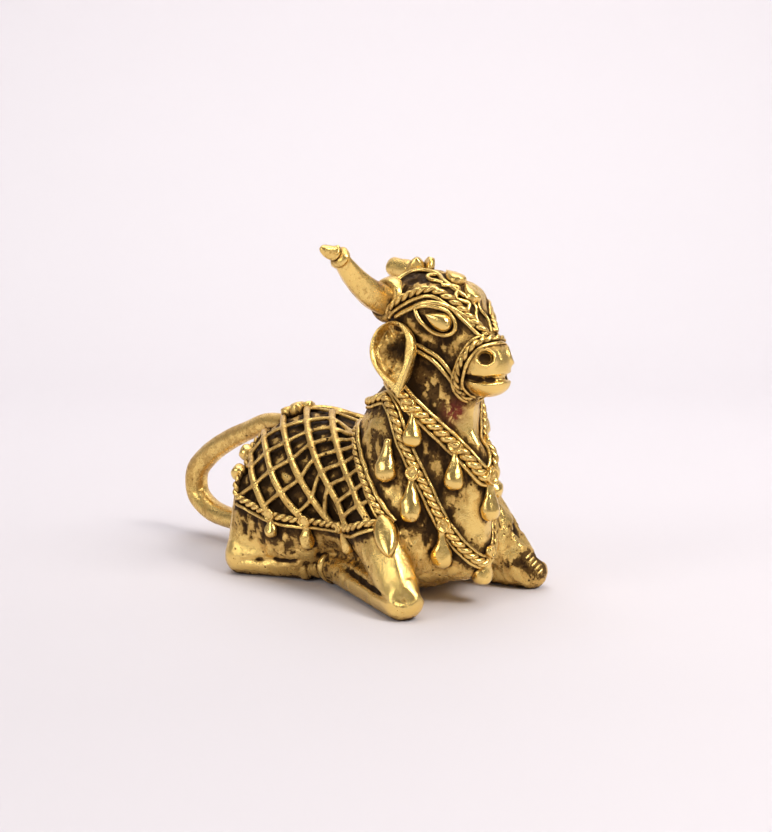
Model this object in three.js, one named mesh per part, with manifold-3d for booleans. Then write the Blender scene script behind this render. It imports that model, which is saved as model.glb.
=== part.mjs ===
// A reclining Nandi bull, cast in one piece in brass by the lost-wax method: folded legs, a raised
// head with one whole horn and one stump, a net saddle cloth with rope borders, two rope necklaces
// with drops, and a looped tail. Millimetres. +X is forward, +Y the bull's left, +Z up. The origin
// lies on the table, under the middle of the figure.
import * as THREE from "three";
import { mergeVertices } from "three/addons/utils/BufferGeometryUtils.js";
import Module from "manifold-3d";

const wasm = await Module();
wasm.setup();

// Driving dimensions
const FIGURE_HEIGHT = 94; // table to the tip of the horn
const FACE_COUNT = 9600; // of the faceted casting

// The pose and the proportions are written for a figure 94 high, and grow with it.
const share = FIGURE_HEIGHT / 94;
const at = (x, y, z) => new THREE.Vector3(x, y, z).multiplyScalar(share);
const SIDES = [-1, 1]; // the bull's right side, then its left

// The skin's grid: [up to this place, size of a cell], finer over the head and the legs
const CELLS_ALONG = [[-14, 4.2], [8, 3.8], [52, 2.9]];
const CELLS_ACROSS = [[-17, 3.1], [17, 3.4], [40, 3.1]];
const CELLS_UP = [[14, 3], [52, 4], [100, 2.8]];

// Sections of the strips that lie on the skin, as [across, height] from one foot to the other
const RIB = [[-1.1, -0.7], [-0.45, 1.1], [0.45, 1.1], [1.1, -0.7]];
const WIRE = [[-0.8, -0.6], [0, 0.9], [0.8, -0.6]];
const ROPE = [[-1.4, -0.7], [-0.9, 0.9], [0.9, 0.9], [1.4, -0.7]];
const STRAP = [[-1.2, -0.7], [-1, 0.8], [1, 0.8], [1.2, -0.7]];
const BROAD_ROPE = [[-2.2, -0.8], [-1.8, 0.6], [0, 1.3], [1.8, 0.6], [2.2, -0.8]];
const SLIT = [[-0.9, 0.8], [0, -1.3], [0.9, 0.8]];
const CREASE = [[-1.4, 1], [0, -1.7], [1.4, 1]];

// Saddle cloth. Places round the barrel are angles in degrees, from the ridge of the back down.
const BARREL_HEIGHT = 22; // of the barrel's axis
const RIB_START = -60.4; // where the rearmost rib's line meets the ridge
const RIB_PITCH = 10.3;
const RIB_SLANT = 0.42; // forward for each degree down
const RIBS = [[40, 13], [27, 13.4], [18.4, 12.4], [11.6, 9.7], [2.2, 9.5]]; // [crossing 0, step on]
const WIRE_COUNT = 8;
const REAR_ENDS = [30, 66, 90]; // where the first wires reach the rear border

// Ornaments
const DISC_RADIUS = 2.3;
const TASSEL_DISC_RADIUS = 1.8;
const DROP_SIDES = 8;
const ROSETTE_RADIUS = 5.4;
const ROSETTE_PETALS = 6;
const EAR_WIDTH = 12;
const TAIL_RADII = [2.7, 2.8, 3.1, 3.4, 3.4, 3.1, 2.9]; // from the root to the end
const HORN_RADII = [4.5, 4.3, 3.6, 3, 2.3]; // from the collar to the ring
const NOSTRIL = [42.4, 4.6, 66.3]; // on the left
const CUT_BLOCK = [300, 200, 40]; // taken away below the table

// Body masses. Each is a distance function: negative inside, positive outside.
function limb(from, to, fromRadius, toRadius, blend) {
  const axis = to.clone().sub(from);
  const length = axis.length();
  axis.divideScalar(length);
  const r0 = fromRadius * share;
  const r1 = toRadius * share;
  const sin = (r0 - r1) / length; // of the half angle of the cone
  const cos = Math.sqrt(1 - sin * sin);
  const offset = new THREE.Vector3();
  return {
    blend: blend * share,
    distance(p) {
      offset.subVectors(p, from);
      const along = offset.dot(axis);
      const across = Math.sqrt(Math.max(offset.lengthSq() - along * along, 0));
      const slid = along * cos - across * sin;
      if (slid < 0) return Math.hypot(along, across) - r0;
      if (slid > cos * length) return Math.hypot(along - length, across) - r1;
      return across * cos + along * sin - r0;
    },
  };
}

function mass(centre, radii, blend, pitch = 0) {
  const size = radii.clone();
  const tilt = THREE.MathUtils.degToRad(pitch);
  const cos = Math.cos(tilt);
  const sin = Math.sin(tilt);
  return {
    blend: blend * share,
    distance(p) {
      const dx = p.x - centre.x;
      const dz = p.z - centre.z;
      const x = (dx * cos + dz * sin) / size.x;
      const y = (p.y - centre.y) / size.y;
      const z = (dz * cos - dx * sin) / size.z;
      const k0 = Math.hypot(x, y, z);
      const k1 = Math.hypot(x / size.x, y / size.y, z / size.z);
      return k1 > 0 ? (k0 * (k0 - 1)) / k1 : -Math.min(size.x, size.y, size.z);
    },
  };
}

const both = (make) => SIDES.map(make);

const rump = mass(at(-24, 0, 23), at(24, 20, 22.3), 6);
const barrel = mass(at(-8, 0, 23.5), at(24, 20, 19.6), 6);
const chest = [
  mass(at(12, 0, 22.5), at(19, 19.5, 20), 8),
  limb(at(19, 0, 18.5), at(15, 0, 42), 14.5, 15, 8),
  limb(at(31.6, 0, 13), at(32, 0, 37), 6.6, 6.6, 5),
];
const neck = [
  limb(at(16.2, 0, 44), at(21.6, 0, 58), 13.8, 10.9, 6),
  limb(at(27, 0, 44), at(28, 0, 56), 5.6, 5, 4),
  limb(at(21.6, 0, 58), at(19.6, 0, 72), 10.9, 11, 4),
];
const head = [
  mass(at(20, 0, 76.4), at(13.8, 11.8, 10.5), 4, -12),
  ...both((s) => mass(at(26.5, 6.5 * s, 78), at(5, 4.5, 5.5), 3)),
  limb(at(26.6, 0, 75.9), at(36.4, 0, 65.8), 8.1, 5.9, 3),
  mass(at(38.3, 0, 64), at(6.3, 7.1, 6.4), 2, -15),
  limb(at(21, 0, 66), at(36.5, 0, 60.8), 9, 4.8, 4),
  mass(at(39.8, 0, 59.6), at(5, 5.9, 3.9), 1.5),
];
const hindLegs = [
  ...both((s) => mass(at(-22, 14 * s, 17), at(15, 9.5, 17), 4)),
  ...both((s) => limb(at(-33, 17 * s, 22), at(-33.5, 20.5 * s, 6), 5.6, 5.2, 5)),
  ...both((s) => limb(at(-33.5, 21 * s, 4.8), at(-15, 13 * s, 4.4), 5.3, 4.2, 1.5)),
];
const rightForeleg = [
  limb(at(13, -14, 21), at(28.6, -22, 7), 8.4, 4.9, 4),
  limb(at(24.5, -20.3, 17), at(33, -22.4, 5), 3.2, 3.7, 1.5),
  limb(at(31, -23, 4.5), at(-8, -11, 5), 5, 4, 1.5),
];
const leftForeleg = [
  limb(at(20, 15, 21), at(32.5, 22.5, 6), 9, 4.8, 4),
  limb(at(27, 18.5, 14.5), at(35.2, 24.2, 4.6), 2.8, 3.4, 1.5),
  limb(at(34, 23.8, 4.2), at(-8, 11, 5), 4.7, 4, 1.5),
];
const body = [rump, barrel, ...chest, ...neck, ...head, ...hindLegs, ...rightForeleg, ...leftForeleg];

function smoothMin(a, b, blend) {
  const h = Math.max(blend - Math.abs(a - b), 0) / blend;
  return Math.min(a, b) - (h * h * blend) / 4;
}

const bodyDistance = (p) => body.reduce((d, m) => smoothMin(d, m.distance(p), m.blend), 1e3);

function slope(p) {
  const e = 0.05;
  const q = p.clone();
  const read = (key) => {
    q[key] = p[key] + e;
    const high = bodyDistance(q);
    q[key] = p[key] - e;
    const low = bodyDistance(q);
    q[key] = p[key];
    return high - low;
  };
  return new THREE.Vector3(read("x"), read("y"), read("z")).normalize();
}

// Moves a point straight on to the body's skin, or to a height above it.
function settle(p, height = 0) {
  const q = p.clone();
  for (let i = 0; i < 6; i++) q.addScaledVector(slope(q), height - bodyDistance(q));
  return q;
}

// The point of the skin straight out from the barrel's axis, at an angle down from the ridge.
function flank(x, degrees, side) {
  const angle = THREE.MathUtils.degToRad(degrees);
  const out = new THREE.Vector3(0, side * Math.sin(angle), Math.cos(angle));
  const p = at(x, 0, BARREL_HEIGHT).addScaledVector(out, 30 * share);
  for (let i = 0; i < 16; i++) p.addScaledVector(out, -bodyDistance(p));
  return p;
}

function gridLines(start, stretches) {
  const lines = [start * share];
  for (const [until, cell] of stretches) {
    const from = lines.at(-1);
    const count = Math.ceil((until * share - from) / (cell * share));
    for (let i = 1; i <= count; i++) lines.push(from + (i * (until * share - from)) / count);
  }
  return lines;
}

// Draws the skin on a grid: one point in each cell that the surface crosses, and a four-sided face
// across each grid edge that it crosses.
function drawSkin(xs, ys, zs) {
  const [nx, ny, nz] = [xs.length, ys.length, zs.length];
  const index = (i, j, k) => (k * ny + j) * nx + i;
  const value = new Float64Array(nx * ny * nz);
  const p = new THREE.Vector3();
  for (let k = 0; k < nz; k++)
    for (let j = 0; j < ny; j++)
      for (let i = 0; i < nx; i++) value[index(i, j, k)] = bodyDistance(p.set(xs[i], ys[j], zs[k]));

  const cellPoint = new Int32Array(nx * ny * nz).fill(-1);
  const points = [];
  const corner = (n) => [n & 1, (n >> 1) & 1, n >> 2];
  const edges = [];
  for (let a = 0; a < 8; a++)
    for (const bit of [1, 2, 4]) if (!(a & bit)) edges.push([corner(a), corner(a | bit)]);
  for (let k = 0; k < nz - 1; k++)
    for (let j = 0; j < ny - 1; j++)
      for (let i = 0; i < nx - 1; i++) {
        const sum = new THREE.Vector3();
        let crossings = 0;
        for (const [a, b] of edges) {
          const va = value[index(i + a[0], j + a[1], k + a[2])];
          const vb = value[index(i + b[0], j + b[1], k + b[2])];
          if (va < 0 === vb < 0) continue;
          const low = new THREE.Vector3(xs[i + a[0]], ys[j + a[1]], zs[k + a[2]]);
          sum.add(low.lerp(p.set(xs[i + b[0]], ys[j + b[1]], zs[k + b[2]]), va / (va - vb)));
          crossings++;
        }
        if (!crossings) continue;
        cellPoint[index(i, j, k)] = points.length / 3;
        points.push(...settle(sum.divideScalar(crossings)).toArray());
      }

  const faces = [];
  const steps = [[1, 0, 0], [0, 1, 0], [0, 0, 1]];
  for (let k = 1; k < nz - 1; k++)
    for (let j = 1; j < ny - 1; j++)
      for (let i = 1; i < nx - 1; i++)
        for (let axis = 0; axis < 3; axis++) {
          const s = steps[axis];
          const here = value[index(i, j, k)];
          const there = value[index(i + s[0], j + s[1], k + s[2])];
          if (here < 0 === there < 0) continue;
          const u = steps[(axis + 1) % 3];
          const v = steps[(axis + 2) % 3];
          const around = (a, b) =>
            cellPoint[index(i - a * u[0] - b * v[0], j - a * u[1] - b * v[1], k - a * u[2] - b * v[2])];
          const quad = [around(0, 0), around(1, 0), around(1, 1), around(0, 1)];
          if (here >= 0) quad.reverse();
          faces.push(quad[0], quad[1], quad[2], quad[0], quad[2], quad[3]);
        }
  return facesOf(points, faces);
}

function facesOf(points, faces) {
  const geometry = new THREE.BufferGeometry();
  geometry.setAttribute("position", new THREE.BufferAttribute(new Float32Array(points), 3));
  geometry.setIndex(faces);
  return geometry;
}

// A closed solid through a row of rings with equal numbers of points. The row is closed on itself
// or ends in two fans.
function loft(rings, closed = false) {
  const sides = rings[0].length;
  const points = rings.flat().flatMap((p) => p.toArray());
  const faces = [];
  const spans = closed ? rings.length : rings.length - 1;
  for (let i = 0; i < spans; i++)
    for (let j = 0; j < sides; j++) {
      const next = (j + 1) % sides;
      const ahead = ((i + 1) % rings.length) * sides;
      faces.push(i * sides + j, i * sides + next, ahead + next, i * sides + j, ahead + next, ahead + j);
    }
  if (!closed)
    for (const end of [0, rings.length - 1]) {
      const middle = new THREE.Vector3();
      for (const p of rings[end]) middle.addScaledVector(p, 1 / sides);
      const centre = points.length / 3;
      points.push(...middle.toArray());
      for (let j = 0; j < sides; j++) {
        const edge = [end * sides + j, end * sides + ((j + 1) % sides)];
        if (end === 0) edge.reverse();
        faces.push(centre, ...edge);
      }
    }
  return facesOf(points, faces);
}

// Volume inside a closed geometry, negative if its faces point inwards
function signedVolume(geometry) {
  const position = geometry.getAttribute("position");
  const corners = [0, 1, 2].map(() => new THREE.Vector3());
  let sum = 0;
  for (let i = 0; i < geometry.index.count; i += 3) {
    corners.forEach((c, n) => c.fromBufferAttribute(position, geometry.index.getX(i + n)));
    sum += corners[0].dot(corners[1].cross(corners[2])) / 6;
  }
  return sum;
}

function solidOf(geometry) {
  const bare = new THREE.BufferGeometry();
  bare.setAttribute("position", geometry.getAttribute("position"));
  if (geometry.index) bare.setIndex(geometry.index);
  const merged = mergeVertices(bare, 1e-4);
  const triVerts = new Uint32Array(merged.index.array);
  if (signedVolume(merged) < 0) triVerts.reverse();
  return new wasm.Manifold(
    new wasm.Mesh({ numProp: 3, vertProperties: merged.attributes.position.array, triVerts }),
  );
}

function geometryOf(solid) {
  const mesh = solid.getMesh();
  return facesOf(mesh.vertProperties, Array.from(mesh.triVerts));
}

// Thins a closed mesh to a number of faces. The edge whose loss moves the surface least goes first,
// and its two ends meet where the planes around them agree best.
function thin(solid, target) {
  const { vertProperties, triVerts } = solid.getMesh();
  const count = vertProperties.length / 3;
  const pointAt = (_, i) => new THREE.Vector3().fromArray(vertProperties, 3 * i);
  const faceAt = (_, i) => [...triVerts.slice(3 * i, 3 * i + 3)];
  const point = Array.from({ length: count }, pointAt);
  const face = Array.from({ length: triVerts.length / 3 }, faceAt);
  const around = Array.from({ length: count }, () => new Set());
  face.forEach((f, i) => f.forEach((v) => around[v].add(i)));

  // Sum of the squared distances to the planes round a point, as the ten numbers of a symmetric matrix
  const quadric = Array.from({ length: count }, () => new Float64Array(10));
  const normalOf = ([a, b, c]) =>
    point[b].clone().sub(point[a]).cross(new THREE.Vector3().subVectors(point[c], point[a]));
  for (const f of face) {
    const n = normalOf(f);
    const area = n.length() / 2;
    if (area === 0) continue;
    n.normalize();
    const d = -n.dot(point[f[0]]);
    const plane = [n.x, n.y, n.z, d];
    let k = 0;
    for (let i = 0; i < 4; i++)
      for (let j = i; j < 4; j++) {
        for (const v of f) quadric[v][k] += area * plane[i] * plane[j];
        k++;
      }
  }
  const cost = (q, p) =>
    q[0] * p.x * p.x + q[4] * p.y * p.y + q[7] * p.z * p.z + q[9] +
    2 * (q[1] * p.x * p.y + q[2] * p.x * p.z + q[3] * p.x + q[5] * p.y * p.z + q[6] * p.y + q[8] * p.z);
  const matrix = new THREE.Matrix3();

  function meeting(a, b) {
    const q = quadric[a].map((value, i) => value + quadric[b][i]);
    const choices = [point[a], point[b], point[a].clone().lerp(point[b], 0.5)];
    matrix.set(q[0], q[1], q[2], q[1], q[4], q[5], q[2], q[5], q[7]);
    if (Math.abs(matrix.determinant()) > 1e-3 * (q[0] + q[4] + q[7]) ** 3) {
      const best = new THREE.Vector3(-q[3], -q[6], -q[8]).applyMatrix3(matrix.invert());
      if (best.distanceTo(choices[2]) < 2 * point[a].distanceTo(point[b])) choices.push(best);
    }
    const costs = choices.map((p) => cost(q, p));
    const least = costs.indexOf(Math.min(...costs));
    return { a, b, q, place: choices[least].clone(), cost: Math.max(costs[least], 0) };
  }

  const heap = [];
  const lower = (i, j) => heap[i].cost < heap[j].cost;
  const swap = (i, j) => ([heap[i], heap[j]] = [heap[j], heap[i]]);
  function push(item) {
    let i = heap.push(item) - 1;
    while (i > 0 && lower(i, (i - 1) >> 1)) {
      swap(i, (i - 1) >> 1);
      i = (i - 1) >> 1;
    }
  }
  function pop() {
    const top = heap[0];
    const last = heap.pop();
    if (heap.length) heap[0] = last;
    for (let i = 0; ; ) {
      let least = i;
      for (const child of [2 * i + 1, 2 * i + 2])
        if (child < heap.length && lower(child, least)) least = child;
      if (least === i) return top;
      swap(i, least);
      i = least;
    }
  }

  const age = new Uint32Array(count);
  const offer = (a, b) => push({ ...meeting(a, b), ages: age[a] + age[b] });
  const neighbours = (v) => new Set([...around[v]].flatMap((f) => face[f]).filter((w) => w !== v));
  for (let v = 0; v < count; v++) for (const w of neighbours(v)) if (v < w) offer(v, w);

  const turnsOver = (v, other, place) =>
    [...around[v]].some((f) => {
      if (face[f].includes(other)) return false;
      const before = normalOf(face[f]).normalize();
      const kept = point[v];
      point[v] = place;
      const after = normalOf(face[f]);
      point[v] = kept;
      return after.lengthSq() < 1e-8 || before.dot(after.normalize()) < 0.3;
    });

  let left = face.length;
  while (left > target && heap.length) {
    const { a, b, q, place, ages } = pop();
    if (!around[a].size || !around[b].size || ages !== age[a] + age[b]) continue;
    const nearA = neighbours(a);
    if (!nearA.has(b)) continue;
    const nearB = neighbours(b);
    if ([...nearA].filter((v) => nearB.has(v)).length !== 2) continue;
    if (turnsOver(a, b, place) || turnsOver(b, a, place)) continue;
    point[a] = place;
    quadric[a] = q;
    age[a] += age[b] + 1;
    for (const f of around[b]) {
      if (face[f].includes(a)) {
        for (const v of face[f]) if (v !== b) around[v].delete(f);
        left--;
      } else {
        face[f] = face[f].map((v) => (v === b ? a : v));
        around[a].add(f);
      }
    }
    around[b].clear();
    for (const v of neighbours(a)) offer(a, v);
  }
  const kept = new Set(around.flatMap((set) => [...set]));
  const renumber = new Map();
  const points = [];
  const faces = [];
  for (const f of kept)
    for (const v of face[f]) {
      if (!renumber.has(v)) {
        renumber.set(v, points.length / 3);
        points.push(...point[v].toArray());
      }
      faces.push(renumber.get(v));
    }
  return facesOf(points, faces);
}

// Everything that is fused to the body
const fused = [];
const fuse = (geometry) => fused.push(solidOf(geometry));

// A strip of a section that follows the skin along a curve
function strip(points, section, steps, closed = false) {
  const curve = new THREE.CatmullRomCurve3(points, closed, "centripetal");
  const rings = [];
  for (let i = 0; i < (closed ? steps : steps + 1); i++) {
    const p = settle(curve.getPoint(i / steps));
    const up = slope(p);
    const across = curve.getTangent(i / steps).cross(up).normalize();
    const place = ([x, height]) =>
      p.clone().addScaledVector(across, x * share).addScaledVector(up, height * share);
    rings.push(section.map(place));
  }
  return loft(rings, closed);
}

// A round bar along a curve, with its radius given at even steps along it
function bar(points, radii, sides, steps) {
  const curve = new THREE.CatmullRomCurve3(points, false, "centripetal");
  const { normals, binormals } = curve.computeFrenetFrames(steps);
  const rings = [];
  for (let i = 0; i <= steps; i++) {
    const place = (i / steps) * (radii.length - 1);
    const before = Math.min(Math.floor(place), radii.length - 2);
    const radius = THREE.MathUtils.lerp(radii[before], radii[before + 1], place - before) * share;
    const centre = curve.getPointAt(i / steps);
    const ring = [];
    for (let j = 0; j < sides; j++) {
      const angle = (2 * Math.PI * j) / sides;
      const p = centre.clone().addScaledVector(normals[i], radius * Math.cos(angle));
      ring.push(p.addScaledVector(binormals[i], radius * Math.sin(angle)));
    }
    rings.push(ring);
  }
  return loft(rings);
}

// A turned shape given by [radius, height] pairs, standing along a direction
function turned(profile, sides, origin, direction) {
  const points = profile.map(([r, h]) => new THREE.Vector2(r * share, h * share));
  const geometry = new THREE.LatheGeometry(points, sides);
  geometry.applyQuaternion(
    new THREE.Quaternion().setFromUnitVectors(new THREE.Vector3(0, 1, 0), direction.clone().normalize()),
  );
  return geometry.translate(origin.x, origin.y, origin.z);
}

// A drop that hangs down the skin from a point
function drop(top, length, radius) {
  const high = settle(top, 0.5 * share);
  const low = settle(top.clone().add(at(0, 0, -length)), 0.45 * radius * share);
  const round = [[0, 0], [0.6, 0.04], [0.95, 0.16], [1, 0.3]];
  const tapering = [[0.8, 0.5], [0.5, 0.7], [0.35, 0.9], [0, 1.05]];
  const span = high.distanceTo(low) / share;
  const profile = [...round, ...tapering].map(([x, y]) => [x * radius, y * span]);
  fuse(turned(profile, DROP_SIDES, low, high.clone().sub(low)));
}

// A small hollow-faced disc on the skin
function disc(place, r = DISC_RADIUS) {
  const p = settle(place);
  const profile = [[0, -1.2], [r, -1.2], [r, 1.3], [0.7 * r, 1.5], [0.5 * r, 0.9], [0, 0.9]];
  fuse(turned(profile, 8, p, slope(p)));
}

// The outline of a leaf or a drop, pointed at the start and round at the end
function leafOutline(length, width, sharpness, sides) {
  const outline = [];
  for (let i = 0; i < sides; i++) {
    const t = (2 * Math.PI * i) / sides;
    const across = Math.sin(t) * Math.sin(t / 2) ** sharpness * (1 + 0.3 * sharpness);
    outline.push(new THREE.Vector2((length * (1 - Math.cos(t))) / 2, (width / 2) * across));
  }
  return outline;
}

// An outline stacked at [scale, height] levels, from its back to its face. It shrinks about a point
// that is a share of the way along it.
function plate(outline, levels, origin, along, upward, middle = 0.6) {
  const length = Math.max(...outline.map((q) => q.x));
  const up = upward.clone().normalize();
  const x = along.clone().addScaledVector(up, -along.dot(up)).normalize();
  const y = up.clone().cross(x);
  const rings = levels.map(([scale, height]) =>
    outline.map((q) =>
      origin
        .clone()
        .addScaledVector(x, (middle * length + (q.x - middle * length) * scale) * share)
        .addScaledVector(y, q.y * scale * share)
        .addScaledVector(up, height * share),
    ),
  );
  return loft(rings);
}

// A leaf that lies on the skin from one point towards another
function leaf(from, to, width, sharpness, levels, sides) {
  const along = to.clone().sub(from);
  const centre = settle(from.clone().addScaledVector(along, 0.5));
  const outline = leafOutline(along.length() / share, width, sharpness, sides);
  fuse(plate(outline, levels, centre.clone().addScaledVector(along, -0.5), along, slope(centre)));
}

function addTail() {
  const route = [
    at(-36, 0, 40), at(-47.4, 0, 39), at(-55.3, 0, 35.8), at(-65.3, 0, 31.4), at(-74.3, 0, 26.1),
    at(-80.8, 0, 19.7), at(-80.6, 0, 13), at(-75, 0, 9), at(-67.2, 0, 7.5), at(-54, 0, 7.5),
    at(-39, 0, 9),
  ];
  fuse(bar(route, TAIL_RADII, 9, 18));
}

// The right horn stands whole, with a ring and a pointed cap. The left one is lost above its collar.
function addHorns() {
  const route = [at(12, -6, 78.6), at(12, -11, 79.6), at(12, -15.5, 81.6), at(11.4, -20.5, 85.6)];
  fuse(bar([...route, at(11.6, -25.6, 90.8)], HORN_RADII, 7, 8));
  const ring = [[0, -1.2], [2.4, -1.2], [2.9, 0], [2.4, 1.2], [0, 1.2]];
  fuse(turned(ring, 8, at(11.6, -26.2, 91.2), at(-0.1, -1, 0.6)));
  const cap = [[0, 0], [1.7, 0], [1.5, 2], [0, 4.9]];
  fuse(turned(cap, 6, at(11.4, -27, 92), at(-0.25, -1, 0.35)));
  for (const s of SIDES) {
    const collar = [[0, 0], [6, 0], [6.1, 2.6], [5.2, 4.2], [0, 4.2]];
    fuse(turned(collar, 9, at(12.6, 7.4 * s, 79), at(-0.05, s, 0.22)));
  }
  const stump = [[0, 0], [4.2, 0], [3.9, 2.6], [2.6, 3.6], [0, 3.2]];
  fuse(turned(stump, 7, at(12.4, 10.8, 79.8), at(-0.05, 1, 0.3)));
}

function addEars() {
  const levels = [[0.62, -5], [1, -0.6], [0.95, 0.8], [0.74, 0.5], [0.55, -0.7]];
  for (const s of SIDES) {
    const tip = at(25.6, 17.4 * s, 55.8);
    const root = at(17, 13.6 * s, 74.2);
    const up = new THREE.Vector3(0.234, 0.927 * s, 0.293).normalize();
    const outline = leafOutline(root.distanceTo(tip) / share, EAR_WIDTH, 0.9, 12);
    fuse(plate(outline, levels, tip, root.clone().sub(tip), up));
  }
}

function addFace() {
  const eyeLevels = [[1, -2], [1, 0.8], [0.8, 0.9], [0.7, 0.4], [0.5, 1], [0.25, 1.3]];
  for (const s of SIDES) {
    leaf(at(25.6, 11.6 * s, 77.4), at(33.4, 7 * s, 73.6), 6, 1, eyeLevels, 10);
    const brow = [at(18.5, 12.2 * s, 75.5), at(24.4, 11.6 * s, 78.4), at(29.3, 10 * s, 79.6)];
    brow.push(at(34, 5.6 * s, 77.4), at(37.5, 3.4 * s, 73.8));
    fuse(strip(brow, WIRE, 8));
    const band = [at(14.5, 11.4 * s, 76.6), at(19.4, 11.3 * s, 79.9), at(23.2, 10.4 * s, 81.6)];
    band.push(at(27.6, 9 * s, 82.3), at(31.3, 7 * s, 80.8), at(34.5, 4.6 * s, 77.8));
    band.push(at(39.6, 1.2 * s, 71.5));
    fuse(strip(band, BROAD_ROPE, 10));
    const jaw = [at(21.6, 11 * s, 69), at(27.3, 9 * s, 66.1), at(30.6, 7.3 * s, 63.1)];
    fuse(strip([...jaw, at(34.4, 4.6 * s, 57.8)], STRAP, 7));
    const nostril = settle(at(NOSTRIL[0], NOSTRIL[1] * s, NOSTRIL[2]));
    fuse(turned([[0, -1], [3, -1], [2.6, 0.6], [0, 0.6]], 8, nostril, slope(nostril)));
  }
  const nose = [at(40.6, 0, 70.2), at(38.8, 5.4, 68.6), at(36.6, 7.1, 64.2), at(34, 5.5, 59)];
  fuse(strip(bothHalves([...nose, at(33.4, 0, 56.4)]), BROAD_ROPE, 14, true));
}

// The crest on the poll: a peg, a two-peaked leaf, arched wires and two leaves on the forehead
function addCrest() {
  const peg = [[0, -5.5], [1.6, -5], [2.4, -3], [2.4, 4], [0, 4]];
  fuse(turned(peg, 8, at(8.6, 0, 87), at(-1, 0, 0.06)));
  const levels = [[1, -2.5], [1, 0.6], [0.6, 1.2]];
  leaf(at(24.5, 0, 86), at(30, 0, 84), 4.4, 0.8, levels, 8);
  leaf(at(30.5, 0, 83), at(34.6, 0, 79.6), 3.8, 0.8, levels, 8);
  const peak = leafOutline(7, 4.6, 0.8, 8);
  const faces = [[1, -0.9], [1, 0.9]];
  for (const s of SIDES) {
    fuse(plate(peak, faces, at(15, 1.4 * s, 89.8), at(0, 0, -1), at(0.5, s, 0)));
    const arch = [at(13.6, 8 * s, 83), at(15.6, 4.4 * s, 86.6), at(20, 3 * s, 87.6)];
    arch.push(at(24.5, 3 * s, 86.6), at(29, 4.6 * s, 83.6), at(33, 2.6 * s, 81));
    fuse(strip(arch, WIRE, 8));
    const curl = [at(33, 2.4 * s, 81), at(35.4, 0.6 * s, 78.2), at(36.8, 2 * s, 75.6)];
    fuse(strip([...curl, at(39, 0.8 * s, 71.6)], WIRE, 5));
  }
}

// A loop from its left half, which starts and ends in the middle plane
function bothHalves(half) {
  const back = half.slice(1, -1).reverse();
  return [...half, ...back.map((p) => p.clone().setY(-p.y))];
}

function addNecklaces() {
  const upper = [at(7.5, 0, 58.5), at(13, 11, 59), at(20.2, 12.8, 56.2), at(26.6, 10.1, 49.8)];
  upper.push(at(33.1, 5.3, 42.4), at(39, 0, 34.4));
  fuse(strip(bothHalves(upper), BROAD_ROPE, 22, true));
  const lower = [at(2, 0, 49.5), at(8, 11.5, 52.5), at(14.5, 13.4, 54.5), at(19.3, 14.1, 50.7)];
  lower.push(at(23, 14.1, 43), at(28.4, 11.5, 31.3), at(32.3, 8.9, 22.3), at(36.4, 4.4, 15));
  fuse(strip(bothHalves([...lower, at(38, 0, 12)]), ROPE, 30, true));
  for (const s of SIDES) {
    disc(at(23.2, 12 * s, 53));
    drop(at(24.2, 12 * s, 51.5), 8.5, 2.5);
    disc(at(33.1, 5.6 * s, 42.4));
    drop(at(33.3, 5.7 * s, 41), 8.6, 2.6);
    drop(at(19, 15.4 * s, 43.5), 10, 3);
    disc(at(25.2, 13.4 * s, 35.5));
    drop(at(25.2, 13.6 * s, 34.5), 10.2, 2.8);
    disc(at(32.3, 8.9 * s, 22.4));
    drop(at(32, 9.2 * s, 21), 8.8, 2.8);
  }
  disc(at(39, 1, 34.8), 2.7);
  drop(at(39, 1, 33), 9.2, 2.8);
  disc(at(38, 1.5, 13.4));
  drop(at(38, 1.5, 12), 8, 3.2);
}

const ribPlace = (rib, angle) => RIB_START + RIB_PITCH * rib + RIB_SLANT * angle;
const frontEdge = (angle) => -7 + 0.33 * angle;
const rearEdge = (angle) => -43 + 0.00125 * angle * angle;
const lowEdge = (x) => 98.5 - 0.0125 * (x + 6) ** 2;

// Points along a line of the saddle cloth, between two angles down one side
function clothLine(place, from, to, side, steps) {
  const points = [];
  for (let i = 0; i <= steps; i++) {
    const angle = THREE.MathUtils.lerp(from, to, i / steps);
    points.push(flank(place(angle), angle, side));
  }
  return points;
}

function addNet() {
  fuse(strip([-42, -30, -18, -6].map((x) => flank(x, 0, 1)), WIRE, 8));
  for (const side of SIDES) {
    for (let rib = 0; rib < RIBS.length; rib++) {
      let from = 0;
      while (ribPlace(rib, from) < rearEdge(from)) from += 1;
      let to = from;
      while (to < lowEdge(ribPlace(rib, to))) to += 1;
      const line = clothLine((angle) => ribPlace(rib, angle), from, to, side, 5);
      fuse(strip(line, RIB, Math.ceil((to - from) / 12)));
    }
    for (let wire = 1; wire <= WIRE_COUNT; wire++) {
      const front = 24 + 0.75 * wire * wire;
      const knots = [flank(frontEdge(front), front, side)];
      for (let rib = RIBS.length - 1; rib >= 0; rib--) {
        const [first, step] = RIBS[rib];
        const angle = first + step * wire;
        const x = ribPlace(rib, angle);
        if (angle > lowEdge(x) || x < rearEdge(angle)) break;
        knots.push(flank(x, angle, side));
      }
      const rear = REAR_ENDS[wire - 1];
      if (rear) knots.push(flank(rearEdge(rear), rear, side));
      if (knots.length > 1) fuse(strip(knots, WIRE, knots.length - 1));
    }
  }
}

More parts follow.
